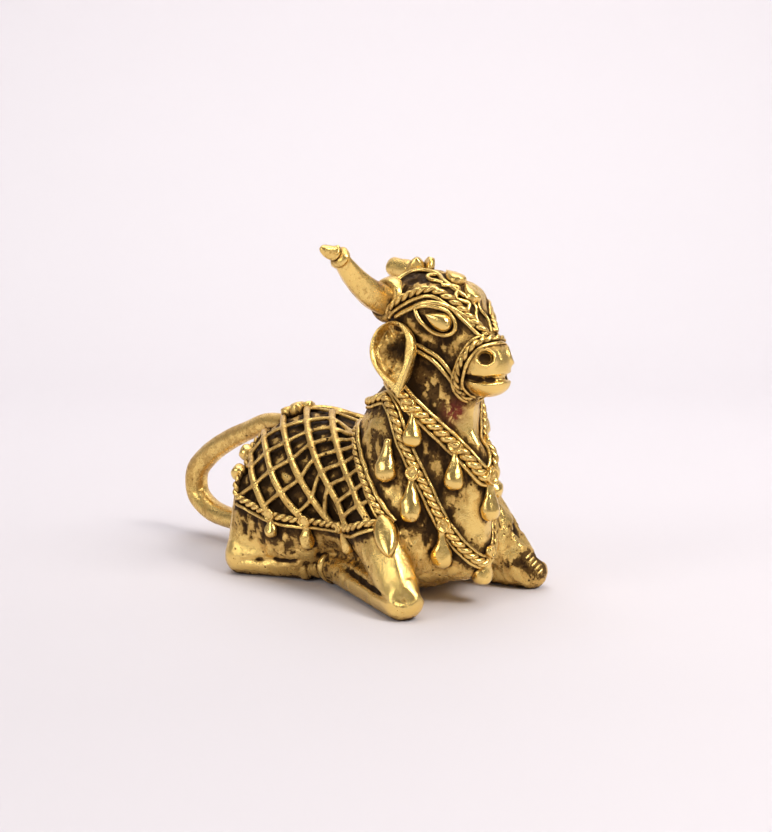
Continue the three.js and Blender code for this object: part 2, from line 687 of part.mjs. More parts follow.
function addBorders() {
  const whole = (place, last, steps) => {
    const right = clothLine(place, last, 0, -1, steps);
    return [...right, ...clothLine(place, 0, last, 1, steps).slice(1)];
  };
  fuse(strip(whole(frontEdge, 88, 5), ROPE, 20));
  fuse(strip(whole((angle) => frontEdge(angle) + 2.5, 86, 5), STRAP, 20));
  fuse(strip(whole(rearEdge, 90, 5), ROPE, 18));
  for (const side of SIDES) {
    const edge = [-33, -25, -15, -4, 8, 22].map((x) => flank(x, lowEdge(x), side));
    fuse(strip(edge, ROPE, 14));
    fuse(strip(edge.map((p) => settle(p.clone().add(at(0, 0, -2.4)))), WIRE, 14));
    const tassels = [[-18.5, 5.5, 1.9], [-8, 7.5, 2.2], [7, 7.5, 2.2], [21.5, 9.5, 2.9]];
    for (const [x, length, radius] of tassels) {
      const top = flank(x, lowEdge(x), side);
      disc(top, TASSEL_DISC_RADIUS);
      drop(top, length, radius);
    }
    for (const angle of [50, 74]) {
      const knob = flank(rearEdge(angle) - 1.2, angle, side);
      fuse(turned([[0, -1], [2, -1], [2.4, 1.8], [1.4, 3.4], [0, 3.4]], 6, knob, slope(knob)));
    }
  }
}

// The petalled rosette behind the cloth, on the rump
function addRosette() {
  const outline = [];
  for (let i = 0; i < 2 * ROSETTE_PETALS; i++) {
    const angle = (Math.PI * i) / ROSETTE_PETALS;
    const radius = i % 2 ? 0.78 * ROSETTE_RADIUS : ROSETTE_RADIUS;
    outline.push(new THREE.Vector2(radius * Math.cos(angle), radius * Math.sin(angle)));
  }
  const levels = [[1, -2.5], [1, 1.6], [0.6, 2.2], [0.45, 2.9]];
  const centre = settle(at(-34, 0, 46));
  fuse(plate(outline, levels, centre, at(1, 0, 0), slope(centre), 0));
}

function addHoofBands() {
  const ring = [[0, -1.3], [4.9, -1.3], [5.2, 0], [4.9, 1.3], [0, 1.3]];
  const hoof = [[0, 0], [3.9, 0], [3.6, 3], [0, 4]];
  for (const s of SIDES) {
    const hindCannon = at(18.5, -8 * s, -0.6);
    fuse(turned(ring, 10, at(-15, 13 * s, 4.8), hindCannon));
    fuse(turned(hoof, 8, at(-14, 12.6 * s, 4.4), hindCannon));
    fuse(turned(ring, 10, at(-6, 11.6 * s, 5.2), at(-39, -12 * s, 0.5)));
  }
}

addTail();
addHorns();
addEars();
addFace();
addCrest();
addNecklaces();
addNet();
addBorders();
addRosette();
addHoofBands();

const skin = drawSkin(
  gridLines(-56, CELLS_ALONG), gridLines(-36, CELLS_ACROSS), gridLines(-8, CELLS_UP),
);
let casting = solidOf(skin);
for (const piece of fused) casting = casting.add(piece);
const cut = (geometry) => (casting = casting.subtract(solidOf(geometry)));

// The mouth is a slit round the muzzle. The nostrils are pits, and each folded leg has a crease.
const lips = [at(44, 0, 59.9), at(43.4, 2.4, 60), at(40.8, 5.6, 60.4), at(36.9, 6.7, 61.1)];
const mirrored = lips.slice(1).reverse().map((p) => p.clone().setY(-p.y));
cut(strip([...mirrored, ...lips], SLIT, 10));
for (const s of SIDES) {
  const fore = [at(-1, 15 * s, 9.3), at(9, 18.6 * s, 9), at(19, 23 * s, 8.8), at(29, 26.8 * s, 7.8)];
  const hind = [at(-30, 24.6 * s, 6.4), at(-22, 22.4 * s, 8), at(-11.5, 19 * s, 9.6)];
  cut(strip(fore, CREASE, 9));
  cut(strip(hind, CREASE, 6));
  const nostril = settle(at(NOSTRIL[0], NOSTRIL[1] * s, NOSTRIL[2]));
  cut(turned([[0, -1.6], [1.2, -1.4], [1.9, 1.5], [0, 1.5]], 8, nostril, slope(nostril)));
}

casting = solidOf(thin(casting, FACE_COUNT));

// Everything below the table is cut off flat.
const below = new THREE.BoxGeometry(...CUT_BLOCK.map((side) => side * share));
cut(below.translate(0, 0, (-CUT_BLOCK[2] * share) / 2));

const geometry = geometryOf(casting);
geometry.computeBoundingBox();
const middle = geometry.boundingBox.getCenter(new THREE.Vector3());
geometry.translate(-middle.x, -middle.y, 0);

const brass = new THREE.MeshStandardMaterial({ color: 0xc8963c, metalness: 1, roughness: 0.35 });
const bull = new THREE.Mesh(geometry, brass);
bull.name = "nandi_bull";

const part = new THREE.Group();
part.add(bull);
export default part;
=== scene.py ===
# A reclining Nandi bull, cast in one piece in brass by the lost-wax method, about 94 mm high. Sizes and
# places are in millimetres in the caster's own frame: +X is the way the bull faces, +Y its left side,
# +Z up, with the middle plane at y = 0 and the table at z = 0.
import math

import bpy
import numpy as np
from mathutils import Matrix, Vector, noise
from mathutils.kdtree import KDTree


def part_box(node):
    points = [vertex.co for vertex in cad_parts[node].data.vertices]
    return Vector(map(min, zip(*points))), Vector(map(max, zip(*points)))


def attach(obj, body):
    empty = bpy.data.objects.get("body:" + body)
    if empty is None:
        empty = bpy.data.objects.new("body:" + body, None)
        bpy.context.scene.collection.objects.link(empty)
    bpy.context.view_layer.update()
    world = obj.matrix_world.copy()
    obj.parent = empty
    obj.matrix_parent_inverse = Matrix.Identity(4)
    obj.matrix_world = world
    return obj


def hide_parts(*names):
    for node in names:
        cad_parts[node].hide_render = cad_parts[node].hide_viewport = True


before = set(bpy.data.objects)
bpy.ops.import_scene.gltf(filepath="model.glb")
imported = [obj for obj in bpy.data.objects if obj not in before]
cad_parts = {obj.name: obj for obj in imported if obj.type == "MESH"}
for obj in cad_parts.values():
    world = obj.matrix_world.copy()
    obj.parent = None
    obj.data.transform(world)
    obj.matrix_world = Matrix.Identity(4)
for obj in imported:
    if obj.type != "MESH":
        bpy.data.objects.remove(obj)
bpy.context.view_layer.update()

# The wax body: a clay core covered with a sheet of wax, modelled as soft masses that run into one
# another, then cast hollow in brass. The node's own box says how large the cast is and where it lies.
BODY_BOX = ((-84.378, -31.501, 0.0), (44.708, 28.557, 94.025))  # of the pose that the points below describe
low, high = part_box("nandi_bull")
scale = (high.z - low.z) / BODY_BOX[1][2]
shift = np.array([low.x - BODY_BOX[0][0] * scale, low.y - BODY_BOX[0][1] * scale, 0.0])


def at(*xyz):
    """A place or a direction in the caster's frame."""
    return np.array(xyz, float)


def limb(a, b, radius_a, radius_b, blend):
    """A round limb that tapers from one ball to another."""
    axis = b - a
    length = np.linalg.norm(axis)
    axis = axis / length
    sin = (radius_a - radius_b) / length
    cos = math.sqrt(1 - sin * sin)

    def distance(p):
        offset = p - a
        along = offset @ axis
        across = np.sqrt(np.maximum((offset**2).sum(1) - along**2, 0))
        slid = along * cos - across * sin
        side = across * cos + along * sin - radius_a
        start = np.hypot(along, across) - radius_a
        end = np.hypot(along - length, across) - radius_b
        return np.where(slid < 0, start, np.where(slid > cos * length, end, side))

    return distance, blend


def mass(centre, radii, blend, pitch=0.0):
    """An egg-shaped mass, pitched up or down about the bull's left-right axis."""
    cos, sin = math.cos(math.radians(pitch)), math.sin(math.radians(pitch))

    def distance(p):
        q = p - centre
        turned = np.stack([q[:, 0] * cos + q[:, 2] * sin, q[:, 1], q[:, 2] * cos - q[:, 0] * sin], 1)
        k0 = np.sqrt(((turned / radii) ** 2).sum(1))
        k1 = np.sqrt(((turned / radii**2) ** 2).sum(1))
        return k0 * (k0 - 1) / np.maximum(k1, 1e-9)

    return distance, blend


def both(make):
    """The same thing on the right side and on the left."""
    return [make(-1), make(1)]


MASSES = [
    mass(at(-24, 0, 23), at(24, 20, 22.3), 6),  # rump
    mass(at(-8, 0, 23.5), at(24, 20, 19.6), 6),  # barrel
    mass(at(12, 0, 22.5), at(19, 19.5, 20), 8),  # chest
    limb(at(19, 0, 18.5), at(15, 0, 42), 14.5, 15, 8),
    limb(at(31.6, 0, 13), at(32, 0, 37), 6.6, 6.6, 5),
    limb(at(16.2, 0, 44), at(21.6, 0, 58), 13.8, 10.9, 6),  # neck
    limb(at(27, 0, 44), at(28, 0, 56), 5.6, 5, 4),
    limb(at(21.6, 0, 58), at(19.6, 0, 72), 10.9, 11, 4),
    mass(at(20, 0, 76.4), at(13.8, 11.8, 10.5), 4, -12),  # skull
    *both(lambda s: mass(at(26.5, 6.5 * s, 78), at(5, 4.5, 5.5), 3)),  # brows
    limb(at(26.6, 0, 75.9), at(36.4, 0, 65.8), 8.1, 5.9, 3),  # bridge of the nose
    mass(at(38.3, 0, 64), at(6.3, 7.1, 6.4), 2, -15),  # muzzle
    limb(at(21, 0, 66), at(36.5, 0, 60.8), 9, 4.8, 4),  # jaw
    mass(at(39.8, 0, 59.6), at(5, 5.9, 3.9), 1.5),  # lips
    *both(lambda s: mass(at(-22, 14 * s, 17), at(15, 9.5, 17), 4)),  # thighs
    *both(lambda s: limb(at(-33, 17 * s, 22), at(-33.5, 20.5 * s, 6), 5.6, 5.2, 5)),
    *both(lambda s: limb(at(-33.5, 21 * s, 4.8), at(-15, 13 * s, 4.4), 5.3, 4.2, 1.5)),  # hind cannons
    limb(at(13, -14, 21), at(28.6, -22, 7), 8.4, 4.9, 4),  # right foreleg
    limb(at(24.5, -20.3, 17), at(33, -22.4, 5), 3.2, 3.7, 1.5),
    limb(at(31, -23, 4.5), at(-8, -11, 5), 5, 4, 1.5),
    limb(at(20, 15, 21), at(32.5, 22.5, 6), 9, 4.8, 4),  # left foreleg
    limb(at(27, 18.5, 14.5), at(35.2, 24.2, 4.6), 2.8, 3.4, 1.5),
    limb(at(34, 23.8, 4.2), at(-8, 11, 5), 4.7, 4, 1.5),
]


def run_together(a, b, blend):
    """The nearer of two surfaces, with the crease between them filled in."""
    h = np.maximum(blend - np.abs(a - b), 0) / blend
    return np.minimum(a, b) - h * h * blend / 4


def body_distance(p):
    """How far points are outside the plain body, in mm, with the masses run together."""
    total = np.full(len(p), 1e3)
    for distance, blend in MASSES:
        total = run_together(total, distance(p), blend)
    return total


def polyline_distance(p, route):
    """Distance from points to a chain of straight pieces, in mm."""
    best = np.full(len(p), 1e3)
    for a, b in zip(route[:-1], route[1:]):
        along = b - a
        t = np.clip(((p - a) @ along) / (along @ along), 0, 1)
        best = np.minimum(best, np.linalg.norm(p - a - t[:, None] * along, axis=1))
    return best


def slope(p, field=body_distance, reach=0.05):
    """Direction straight away from the surface of a field."""
    steps = np.repeat(np.vstack([np.eye(3), -np.eye(3)]) * reach, len(p), 0)
    d = field(np.tile(p, (6, 1)) + steps).reshape(2, 3, len(p))
    g = (d[0] - d[1]).T
    return g / np.linalg.norm(g, axis=1, keepdims=True)


def settle(p, height=0.0, field=body_distance, rounds=6):
    """Moves points straight on to the skin, or to a height above it."""
    q = np.array(p, float).reshape(-1, 3)
    for _ in range(rounds):
        q += slope(q, field) * (height - field(q))[:, None]
    return q


def mirrored(points):
    """The same points on the other side of the bull."""
    return [p * (1, -1, 1) for p in points]


def near(p, centre, radius):
    """1 at a place and nearly 0 a radius away from it."""
    return np.exp(-2.5 * ((p - centre) ** 2).sum(1) / radius**2)


# Places where the modelling tool cut into the wax: the mouth, the nostrils and the folds of the legs
MOUTH_HALF = [at(36.9, 6.7, 61.1), at(42.2, 5.1, 60.6), at(44.3, 1.9, 60.9), at(44.6, 0, 61)]
MOUTH = settle(MOUTH_HALF + mirrored(MOUTH_HALF[-2::-1]))
MOUTH_RADIUS = 0.95
NOSTRILS = settle(both(lambda s: at(42.3, 4.6 * s, 66.2)))
NOSTRIL_RADIUS = 1.9
NOSTRIL_RING = (2.5, 0.6, 0.7)  # radius, width and height of the wax raised round each nostril
FORELEG_FOLD = [at(2, 17.1, 7.9), at(9, 19.8, 7.4), at(16, 22.7, 6.9), at(24, 25.9, 6.2), at(30, 27.6, 5.7)]
HIND_FOLD = [at(-30, 25.2, 4.7), at(-25, 22.9, 5.5), at(-17, 20.2, 5.6), at(-12.6, 18.6, 6.8)]
FOLDS = [settle(fold) for fold in (mirrored(FORELEG_FOLD), mirrored(HIND_FOLD), FORELEG_FOLD, HIND_FOLD)]
FOLD_RADIUS = 1.2
FOLD_FADE = (7, 0.7)  # length in which each end runs out, and how much of the radius it loses

# The bed of the saddle cloth. It is laid out by places along the bull, in mm, and by angles round the
# barrel, down from the ridge of the back, in degrees.
BARREL_HEIGHT = 22.0  # of the axis that the angles turn round
BED_DEPTH = 0.8
BED_SLOPE = 1.2  # width of the slope at its edge
DEGREE = 0.35  # mm that a degree takes up on the skin


def front_edge(angle):
    """Where the cloth's front border crosses an angle."""
    return -7 + 0.33 * angle


def rear_edge(angle):
    """Where its rear border crosses an angle."""
    return -43 + 0.00125 * angle**2


def low_edge(x):
    """The angle of its lower border at a place along the bull."""
    return 98.5 - 0.0125 * (x + 6) ** 2


def cloth_cover(p):
    """1 under the saddle cloth, 0 away from it."""
    angle = np.degrees(np.arctan2(np.abs(p[:, 1]), p[:, 2] - BARREL_HEIGHT))
    inside = np.minimum(front_edge(angle) - p[:, 0], p[:, 0] - rear_edge(angle))
    inside = np.minimum(inside, (low_edge(p[:, 0]) - angle) * DEGREE)
    return np.clip(inside / BED_SLOPE, 0, 1)


def pared(a, b, blend):
    """A surface cut away by another one, with the edge between them eased."""
    return -run_together(-a, -b, blend)


# Flats that the caster's knife left: a place on the skin, the way the flat faces, its depth and its reach
FLATS = [
    (settle(place * (1, s, 1))[0], way * (1, s, 1) / np.linalg.norm(way), depth, reach)
    for s in (-1, 1)
    for place, way, depth, reach in (
        (at(33.8, 25.4, 8.2), at(0.6, 0.72, 0.3), 0.4, 3.6),
        (at(31, 21.7, 14), at(0.8, 0.1, 0.6), 0.4, 4),
        (at(34.5, 17.5, 9), at(0.72, -0.6, 0.2), 0.3, 4),
        (at(-18.3, 19.1, 3), at(0.3, 0.85, -0.42), 0.25, 5),
        (at(14.9, 22.4, 3.2), at(-0.28, 0.9, -0.3), 0.25, 6),
        (at(38, 2, 24), at(0.96, 0.25, 0), 0.3, 5),
    )
]

# Metal left between each foreleg and its shin, and the fold of loose skin down the throat
WEBS = [[at(12, 15.3 * s, 8.3), at(24.5, 17.6 * s, 8.9)] for s in (-1, 1)]
WEB_RADIUS = 1.6
DEWLAP = settle([at(31.8, -0.6, 56), at(33.2, -0.9, 51), at(35, -1.2, 46.5), at(37.4, -1, 42)], 0.3)
DEWLAP_RADIUS = 1.0
DEWLAP_BLEND = 2.2


def sculpted_distance(p):
    """The body with the tool's cuts, and sunk where the cloth lies."""
    d = body_distance(p)
    d = d + BED_DEPTH * cloth_cover(p) * (p[:, 2] > 5)
    close = np.nonzero(np.abs(d) < 3)[0]
    q = p[close]
    e = d[close]
    legs = np.nonzero(q[:, 2] < 30)[0]
    for place, way, depth, reach in FLATS:
        offset = q[legs] - place
        flat = offset @ way + depth - 4 * np.maximum(np.linalg.norm(offset, axis=1) - reach, 0)
        e[legs] = pared(e[legs], flat, 0.35)
    for web in WEBS:
        e[legs] = np.minimum(e[legs], polyline_distance(q[legs], web) - WEB_RADIUS)
    e = run_together(e, polyline_distance(q, DEWLAP) - DEWLAP_RADIUS, DEWLAP_BLEND)
    cut = np.full(len(e), -1.0)
    head = q[:, 2] > 55
    cut[head] = np.maximum(cut[head], MOUTH_RADIUS - polyline_distance(q[head], MOUTH))
    low = q[:, 2] < 14
    fade_length, fade = FOLD_FADE
    for fold in FOLDS:
        ends = near(q[low], fold[0], fade_length) + near(q[low], fold[-1], fade_length)
        cut[low] = np.maximum(cut[low], FOLD_RADIUS - fade * ends - polyline_distance(q[low], fold))
    ring_radius, ring_width, ring_height = NOSTRIL_RING
    for centre in NOSTRILS:
        away = np.linalg.norm((q - centre) * (1, 1, 1.12), axis=1)
        cut = np.maximum(cut, NOSTRIL_RADIUS - away)
        e = e - ring_height * np.exp(-(((away - ring_radius) / ring_width) ** 2))
    d[close] = pared(e, cut, 0.5)
    return d


def grid_lines(start, stretches):
    """Places along one axis: [up to this place, size of a cell]."""
    lines = [start]
    for until, cell in stretches:
        count = math.ceil((until - lines[-1]) / cell)
        lines += list(np.linspace(lines[-1], until, count + 1)[1:])
    return np.array(lines)


def draw_skin(lines, field):
    """The surface where a field is zero: a point in each cell that it crosses, and four-sided faces."""
    shape = tuple(len(line) for line in lines)
    value = np.empty(shape)
    for i, x in enumerate(lines[0]):
        y, z = np.meshgrid(lines[1], lines[2], indexing="ij")
        value[i] = field(np.stack([np.full(y.size, x), y.ravel(), z.ravel()], 1)).reshape(y.shape)
    inside = value < 0
    eight = [inside[a : a + shape[0] - 1, b : b + shape[1] - 1, c : c + shape[2] - 1]
             for a in (0, 1) for b in (0, 1) for c in (0, 1)]
    filled = np.sum(eight, axis=0)
    active = (filled > 0) & (filled < 8)
    cells = np.argwhere(active)
    number = np.full(active.shape, -1)
    number[active] = np.arange(len(cells))
    total = np.zeros((len(cells), 3))
    crossings = np.zeros(len(cells))
    step = np.eye(3, dtype=int)
    for axis in range(3):
        u, v = (axis + 1) % 3, (axis + 2) % 3
        for b in (0, 1):
            for c in (0, 1):
                a0 = cells + b * step[u] + c * step[v]
                a1 = a0 + step[axis]
                v0 = value[tuple(a0.T)]
                v1 = value[tuple(a1.T)]
                crossed = (v0 < 0) != (v1 < 0)
                t = np.where(crossed, v0 / np.where(crossed, v0 - v1, 1), 0)
                start = np.stack([lines[n][a0[:, n]] for n in range(3)], 1)
                start[:, axis] += t * (lines[axis][a1[:, axis]] - start[:, axis])
                total += start * crossed[:, None]
                crossings += crossed
    points = settle(total / crossings[:, None], field=field, rounds=3)
    faces = []
    for axis in range(3):
        u, v = (axis + 1) % 3, (axis + 2) % 3
        first = [slice(None)] * 3
        second = [slice(None)] * 3
        first[axis] = slice(0, -1)
        second[axis] = slice(1, None)
        start = np.argwhere(inside[tuple(first)] != inside[tuple(second)])
        room = (start[:, u] > 0) & (start[:, v] > 0)
        room &= (start[:, u] < shape[u] - 1) & (start[:, v] < shape[v] - 1)
        start = start[room]
        quad = [start, start - step[u], start - step[u] - step[v], start - step[v]]
        quad = np.stack([number[tuple(q.T)] for q in quad], 1)
        outside = ~inside[tuple(start.T)]
        quad[outside] = quad[outside][:, ::-1]
        faces.append(quad)
    return points, np.vstack(faces)


def in_scene(points):
    """Places in the caster's frame as places in the scene."""
    return np.asarray(points) * scale + shift


def set_field(mesh, name, values):
    """Keeps a number or a direction at each point of a mesh, for materials and node trees to read."""
    values = np.asarray(values, np.float32)
    kind, key = ("FLOAT", "value") if values.ndim == 1 else ("FLOAT_VECTOR", "vector")
    field = mesh.attributes.get(name) or mesh.attributes.new(name, kind, "POINT")
    field.data.foreach_set(key, values.ravel())


def smooth_mesh(name, points, faces):
    """A mesh with smooth faces, from places in the scene."""
    mesh = bpy.data.meshes.new(name)
    mesh.from_pydata(np.asarray(points).tolist(), [], [list(map(int, f)) for f in faces])
    mesh.polygons.foreach_set("use_smooth", [True] * len(mesh.polygons))
    return mesh


def placed(name, data):
    """An object with the given data, in the scene."""
    thing = bpy.data.objects.new(name, data)
    bpy.context.scene.collection.objects.link(thing)
    return thing


def mesh_object(name, points, faces, **fields):
    """A smooth mesh object from places in the caster's frame, with a number at each point for each field."""
    mesh = smooth_mesh(name, in_scene(points), faces)
    for field, values in fields.items():
        set_field(mesh, field, values)
    return placed(name, mesh)


SKIN_LINES = [
    grid_lines(-50, [(4, 0.85), (10, 0.7), (35, 0.52), (48, 0.42)]),
    grid_lines(-32, [(-15, 0.66), (-9, 0.6), (9, 0.46), (15, 0.6), (32, 0.66)]),
    grid_lines(-3, [(12, 0.62), (52, 0.85), (56, 0.65), (74, 0.42), (92, 0.52)]),
]
skin_points, skin_faces = draw_skin(SKIN_LINES, sculpted_distance)

# Where hands have rubbed the cast and where soot stays, on both sides: place, reach, rubbed, sooty
WEAR = [
    (at(31, 23, 8), 12, 1.0, -0.45), (at(-33, 22, 6), 9, 0.5, -0.3), (at(-24, 19, 4), 9, 0.5, -0.2),
    (at(12, 20, 4), 10, 0.4, -0.2), (at(40, 4, 66), 8, 1.0, -0.5), (at(41, 3, 60), 8, 0.9, -0.4),
    (at(38, 2, 22), 8, 0.3, -0.2), (at(33, 4, 14), 9, 0.2, -0.1), (at(13, 19, 30), 9, 0.1, 0),
    (at(28, 9, 66), 8, 0, 0.55), (at(22, 11, 55), 10, 0, 1.0), (at(27, 12, 44), 8, 0, 0.35),
    (at(30, 10, 33), 8, 0, 0.95), (at(8, 19, 12), 8, -0.2, 0.4), (at(-16, 20, 11), 6, 0, 0.4),
    (at(-30, 24, 14), 4.5, 0, 0.9), (at(-21, 23.3, 14), 4, 0, 0.8), (at(17, 12, 74), 6, -0.2, 0.7),
    (at(33, 7, 71), 4, 0, 0.4), (at(29, 4, 57), 7, -0.2, 1.1), (at(19, 6.8, 84.5), 6, -0.3, 1.7),
    (at(34, 1, 49), 6, 0.7, -0.6), (at(-8, 12, 5), 8, -0.2, 0.8), (at(-2, 0, 44), 9, -0.2, 0.4),
    (at(28, 7, 84), 6, 0.1, -0.2), (at(15, 15.5, 45), 6, 0, 0.35), (at(24, 15, 22), 6, 0.1, 0.5),
    (at(14, 17, 38), 9, 0, 0.45), (at(-22, 23, 12), 11, 0, 0.6), (at(2, 20, 13), 10, 0, 0.5),
    (at(28, 9, 44), 8, 0, 0.4), (at(31, 10.6, 19), 7, 0, 1.1), (at(29.5, 11.2, 27), 6, 0, 0.7),
]
cover = cloth_cover(skin_points)
skin_rubbing_and_shade = -0.25 * cover
sooty = 0.35 * cover
for centre, reach, hands, smoke in WEAR:
    for s in (-1, 1):
        here = near(skin_points, centre * (1, s, 1), reach)
        skin_rubbing_and_shade += hands * here
        sooty += smoke * here
sunk = -body_distance(skin_points) - BED_DEPTH * cover
sooty += 2.5 * np.clip((sunk - 0.7) / 0.4, 0, 1)  # in the mouth, the nostrils and the folds

# Painted shade on the left knee: it gets less polish than the right one and more soot, and a spot just inside
# it gets more soot too. The throat has a red stain.
skin_rubbing_and_shade -= 0.9 * near(skin_points, at(31, 23, 8), 12)
sooty += 0.8 * near(skin_points, at(29, 23, 11), 11) + 0.9 * near(skin_points, at(35, 15.5, 8), 5)
reddened = 1.6 * near(skin_points, at(32.1, -4.7, 51.4), 4.2)

# The wax was built up in small plates, and their edges still show as an uneven, blistered skin.
PLATE_HEIGHT = 0.42
GRAIN_HEIGHT = 0.12
FOOT_HEIGHT = 0.02  # of the lowest skin above the table
skin_up = slope(skin_points)
stretched = skin_points * (0.4, 0.4, 0.22)
coarse = np.array([noise.turbulence(Vector(p), 4, False, noise_basis="PERLIN_ORIGINAL") for p in stretched])
plates = np.clip((coarse - np.percentile(coarse, 38)) / 0.09, 0, 1)
fine = np.array([noise.noise(Vector(p) * 1.3) for p in skin_points])
rough = np.clip(0.5 + sooty - 0.8 * skin_rubbing_and_shade, 0.08, 1.0)
lift = rough * (PLATE_HEIGHT * (plates - 0.6) + GRAIN_HEIGHT * fine)
skin_points = skin_points + skin_up * lift[:, None]
sooty += 0.9 * rough * (0.6 - plates)
skin_points[:, 2] = np.maximum(skin_points[:, 2], FOOT_HEIGHT)
skin = mesh_object("body", skin_points, skin_faces, polish=skin_rubbing_and_shade, soot=sooty, red=reddened)


# The brass: yellow where hands have rubbed it, dull tan on the flanks, and nearly black with soot and
# wax in the hollows. The colour and the shine come from two numbers on each point: one says where dirt
# has stayed and where shade is painted on, the other where hands have rubbed, lowered where shade is painted.
RUBBED_YELLOW = ((0.87, 0.57, 0.15, 1), (0.97, 0.71, 0.26, 1))
DULL_TAN = ((0.70, 0.445, 0.13, 1), (0.50, 0.29, 0.075, 1))
SOOTY_BROWN = ((0.045, 0.02, 0.003, 1), (0.19, 0.1, 0.025, 1))
OLD_WAX = (0.03, 0.013, 0.0015, 1)
RED_STAIN = (0.2, 0.045, 0.025, 1)


def node_adder(tree):
    """A function that adds a node to a tree, with values or links for its inputs and with its settings."""

    def add(kind, inputs=None, **settings):
        node = tree.nodes.new(kind)
        for key, value in settings.items():
            setattr(node, key, value)
        for key, value in (inputs or {}).items():
            if isinstance(value, bpy.types.NodeSocket):
                tree.links.new(value, node.inputs[key])
            else:
                node.inputs[key].default_value = value
        return node

    return add


def brass(name, polish=0.5, soot=0.0, grain=1.0, scratches=0.0, crevice=0.002):
    """Cast brass, more or less polished and blackened all over, with grain, scratches and dirty crevices."""
    material = bpy.data.materials.new(name)
    material.use_nodes = True
    links = material.node_tree.links
    shader = material.node_tree.nodes["Principled BSDF"]
    shader.inputs["Specular IOR Level"].default_value = 0.2
    add = node_adder(material.node_tree)

    def math_node(operation, a, b=0.0, c=0.0, clamp=False):
        return add("ShaderNodeMath", {0: a, 1: b, 2: c}, operation=operation, use_clamp=clamp).outputs[0]

    def mix(factor, a, b):
        node = add("ShaderNodeMix", data_type="RGBA", clamp_factor=True)
        for key, value in (("Factor_Float", factor), ("A_Color", a), ("B_Color", b)):
            socket = next(s for s in node.inputs if s.identifier == key)
            if isinstance(value, bpy.types.NodeSocket):
                links.new(value, socket)
            else:
                socket.default_value = value
        return next(s for s in node.outputs if s.identifier == "Result_Color")

    def spread(value, low, high):
        return add("ShaderNodeMapRange", {"Value": value, "From Min": low, "From Max": high},
                   interpolation_type="SMOOTHSTEP", clamp=True).outputs["Result"]

    def field(name):
        return add("ShaderNodeAttribute", attribute_name=name).outputs["Fac"]

    place = add("ShaderNodeTexCoord").outputs["Object"]

    def blotches(size, detail, roughness=0.6, distortion=0.0):
        """Uneven patches of about a size in metres."""
        return add("ShaderNodeTexNoise", {
            "Vector": place, "Scale": 1 / size, "Detail": detail,
            "Roughness": roughness, "Distortion": distortion,
        }).outputs["Fac"]

    broad = blotches(0.011, 6, 0.62, 0.6)
    patches = blotches(0.0038, 9, 0.74, 1.2)
    speckle = blotches(0.0008, 5, 0.75)
    open_to_air = add("ShaderNodeAmbientOcclusion", {"Distance": crevice}, samples=8).outputs["AO"]
    hollow = math_node("SUBTRACT", 1.0, open_to_air)

    # Small pits that bubbles left in the mould, here and there
    bubbles = add("ShaderNodeTexVoronoi", {"Vector": place, "Scale": 620.0}).outputs["Distance"]
    few = spread(blotches(0.005, 3), 0.5, 0.62)
    pit = math_node("MULTIPLY", math_node("SUBTRACT", 1.0, spread(bubbles, 0.08, 0.3)), few)

    # How much dirt and painted shade there is: the soot and polish fields, which also hold painted shade, the
    # hollows, and uneven patches over all
    wear_and_shade = math_node("ADD", field("polish"), polish)
    dirt_and_shade = math_node("ADD", field("soot"), soot)
    for texture, amount in ((patches, 3.2), (broad, 1.0), (speckle, 1.7)):
        dirt_and_shade = math_node("ADD", dirt_and_shade, math_node("MULTIPLY_ADD", texture, amount, -amount / 2))
    dirt_and_shade = math_node("SUBTRACT", dirt_and_shade, math_node("MULTIPLY", wear_and_shade, 0.55))
    crust = spread(dirt_and_shade, 0.3, 0.6)
    dirt_and_shade = math_node("MULTIPLY_ADD", hollow, 1.5, dirt_and_shade)
    dirt_and_shade = math_node("MULTIPLY_ADD", pit, 1.3 * grain, dirt_and_shade)
    tarnish = spread(dirt_and_shade, -0.45, 0.25)
    black = spread(dirt_and_shade, 0.38, 0.52)
    deep = spread(dirt_and_shade, 0.75, 1.35)

    bright = mix(patches, *RUBBED_YELLOW)
    dull = mix(broad, *DULL_TAN)
    brown = mix(speckle, *SOOTY_BROWN)
    colour = mix(tarnish, bright, dull)
    colour = mix(black, colour, brown)
    colour = mix(deep, colour, OLD_WAX)
    stain = math_node("MULTIPLY", spread(patches, 0.35, 0.55), field("red"), clamp=True)
    colour = mix(stain, colour, RED_STAIN)
    links.new(colour, shader.inputs["Base Color"])
    metal = math_node("MULTIPLY_ADD", tarnish, -0.3, 1.0)
    metal = math_node("MULTIPLY_ADD", black, -0.25, metal)
    links.new(metal, shader.inputs["Metallic"])
    rough = math_node("MULTIPLY_ADD", tarnish, 0.17, 0.23)
    rough = math_node("MULTIPLY_ADD", black, 0.2, rough)
    rough = math_node("MULTIPLY_ADD", speckle, 0.12, math_node("SUBTRACT", rough, 0.06))
    links.new(rough, shader.inputs["Roughness"])

    # Casting grain: fine lumps over all, the pits, and crusts of dirt with an edge
    relief = math_node("MULTIPLY", speckle, 0.35 * grain)
    relief = math_node("MULTIPLY_ADD", patches, 0.6 * grain, relief)
    relief = math_node("MULTIPLY_ADD", pit, -0.6 * grain, relief)
    relief = math_node("MULTIPLY_ADD", crust, -0.55 * grain, relief)
    if scratches:
        stretch = add("ShaderNodeMapping", {"Vector": place, "Scale": (1.0, 14.0, 14.0)}).outputs[0]
        streaks = add("ShaderNodeTexNoise", {
            "Vector": stretch, "Scale": 90.0, "Detail": 4.0, "Roughness": 0.7,
        }).outputs["Fac"]
        relief = math_node("MULTIPLY_ADD", streaks, scratches, relief)
    bump = add("ShaderNodeBump", {"Strength": 0.5, "Distance": 0.0005, "Height": relief})
    links.new(bump.outputs[0], shader.inputs["Normal"])
    return material


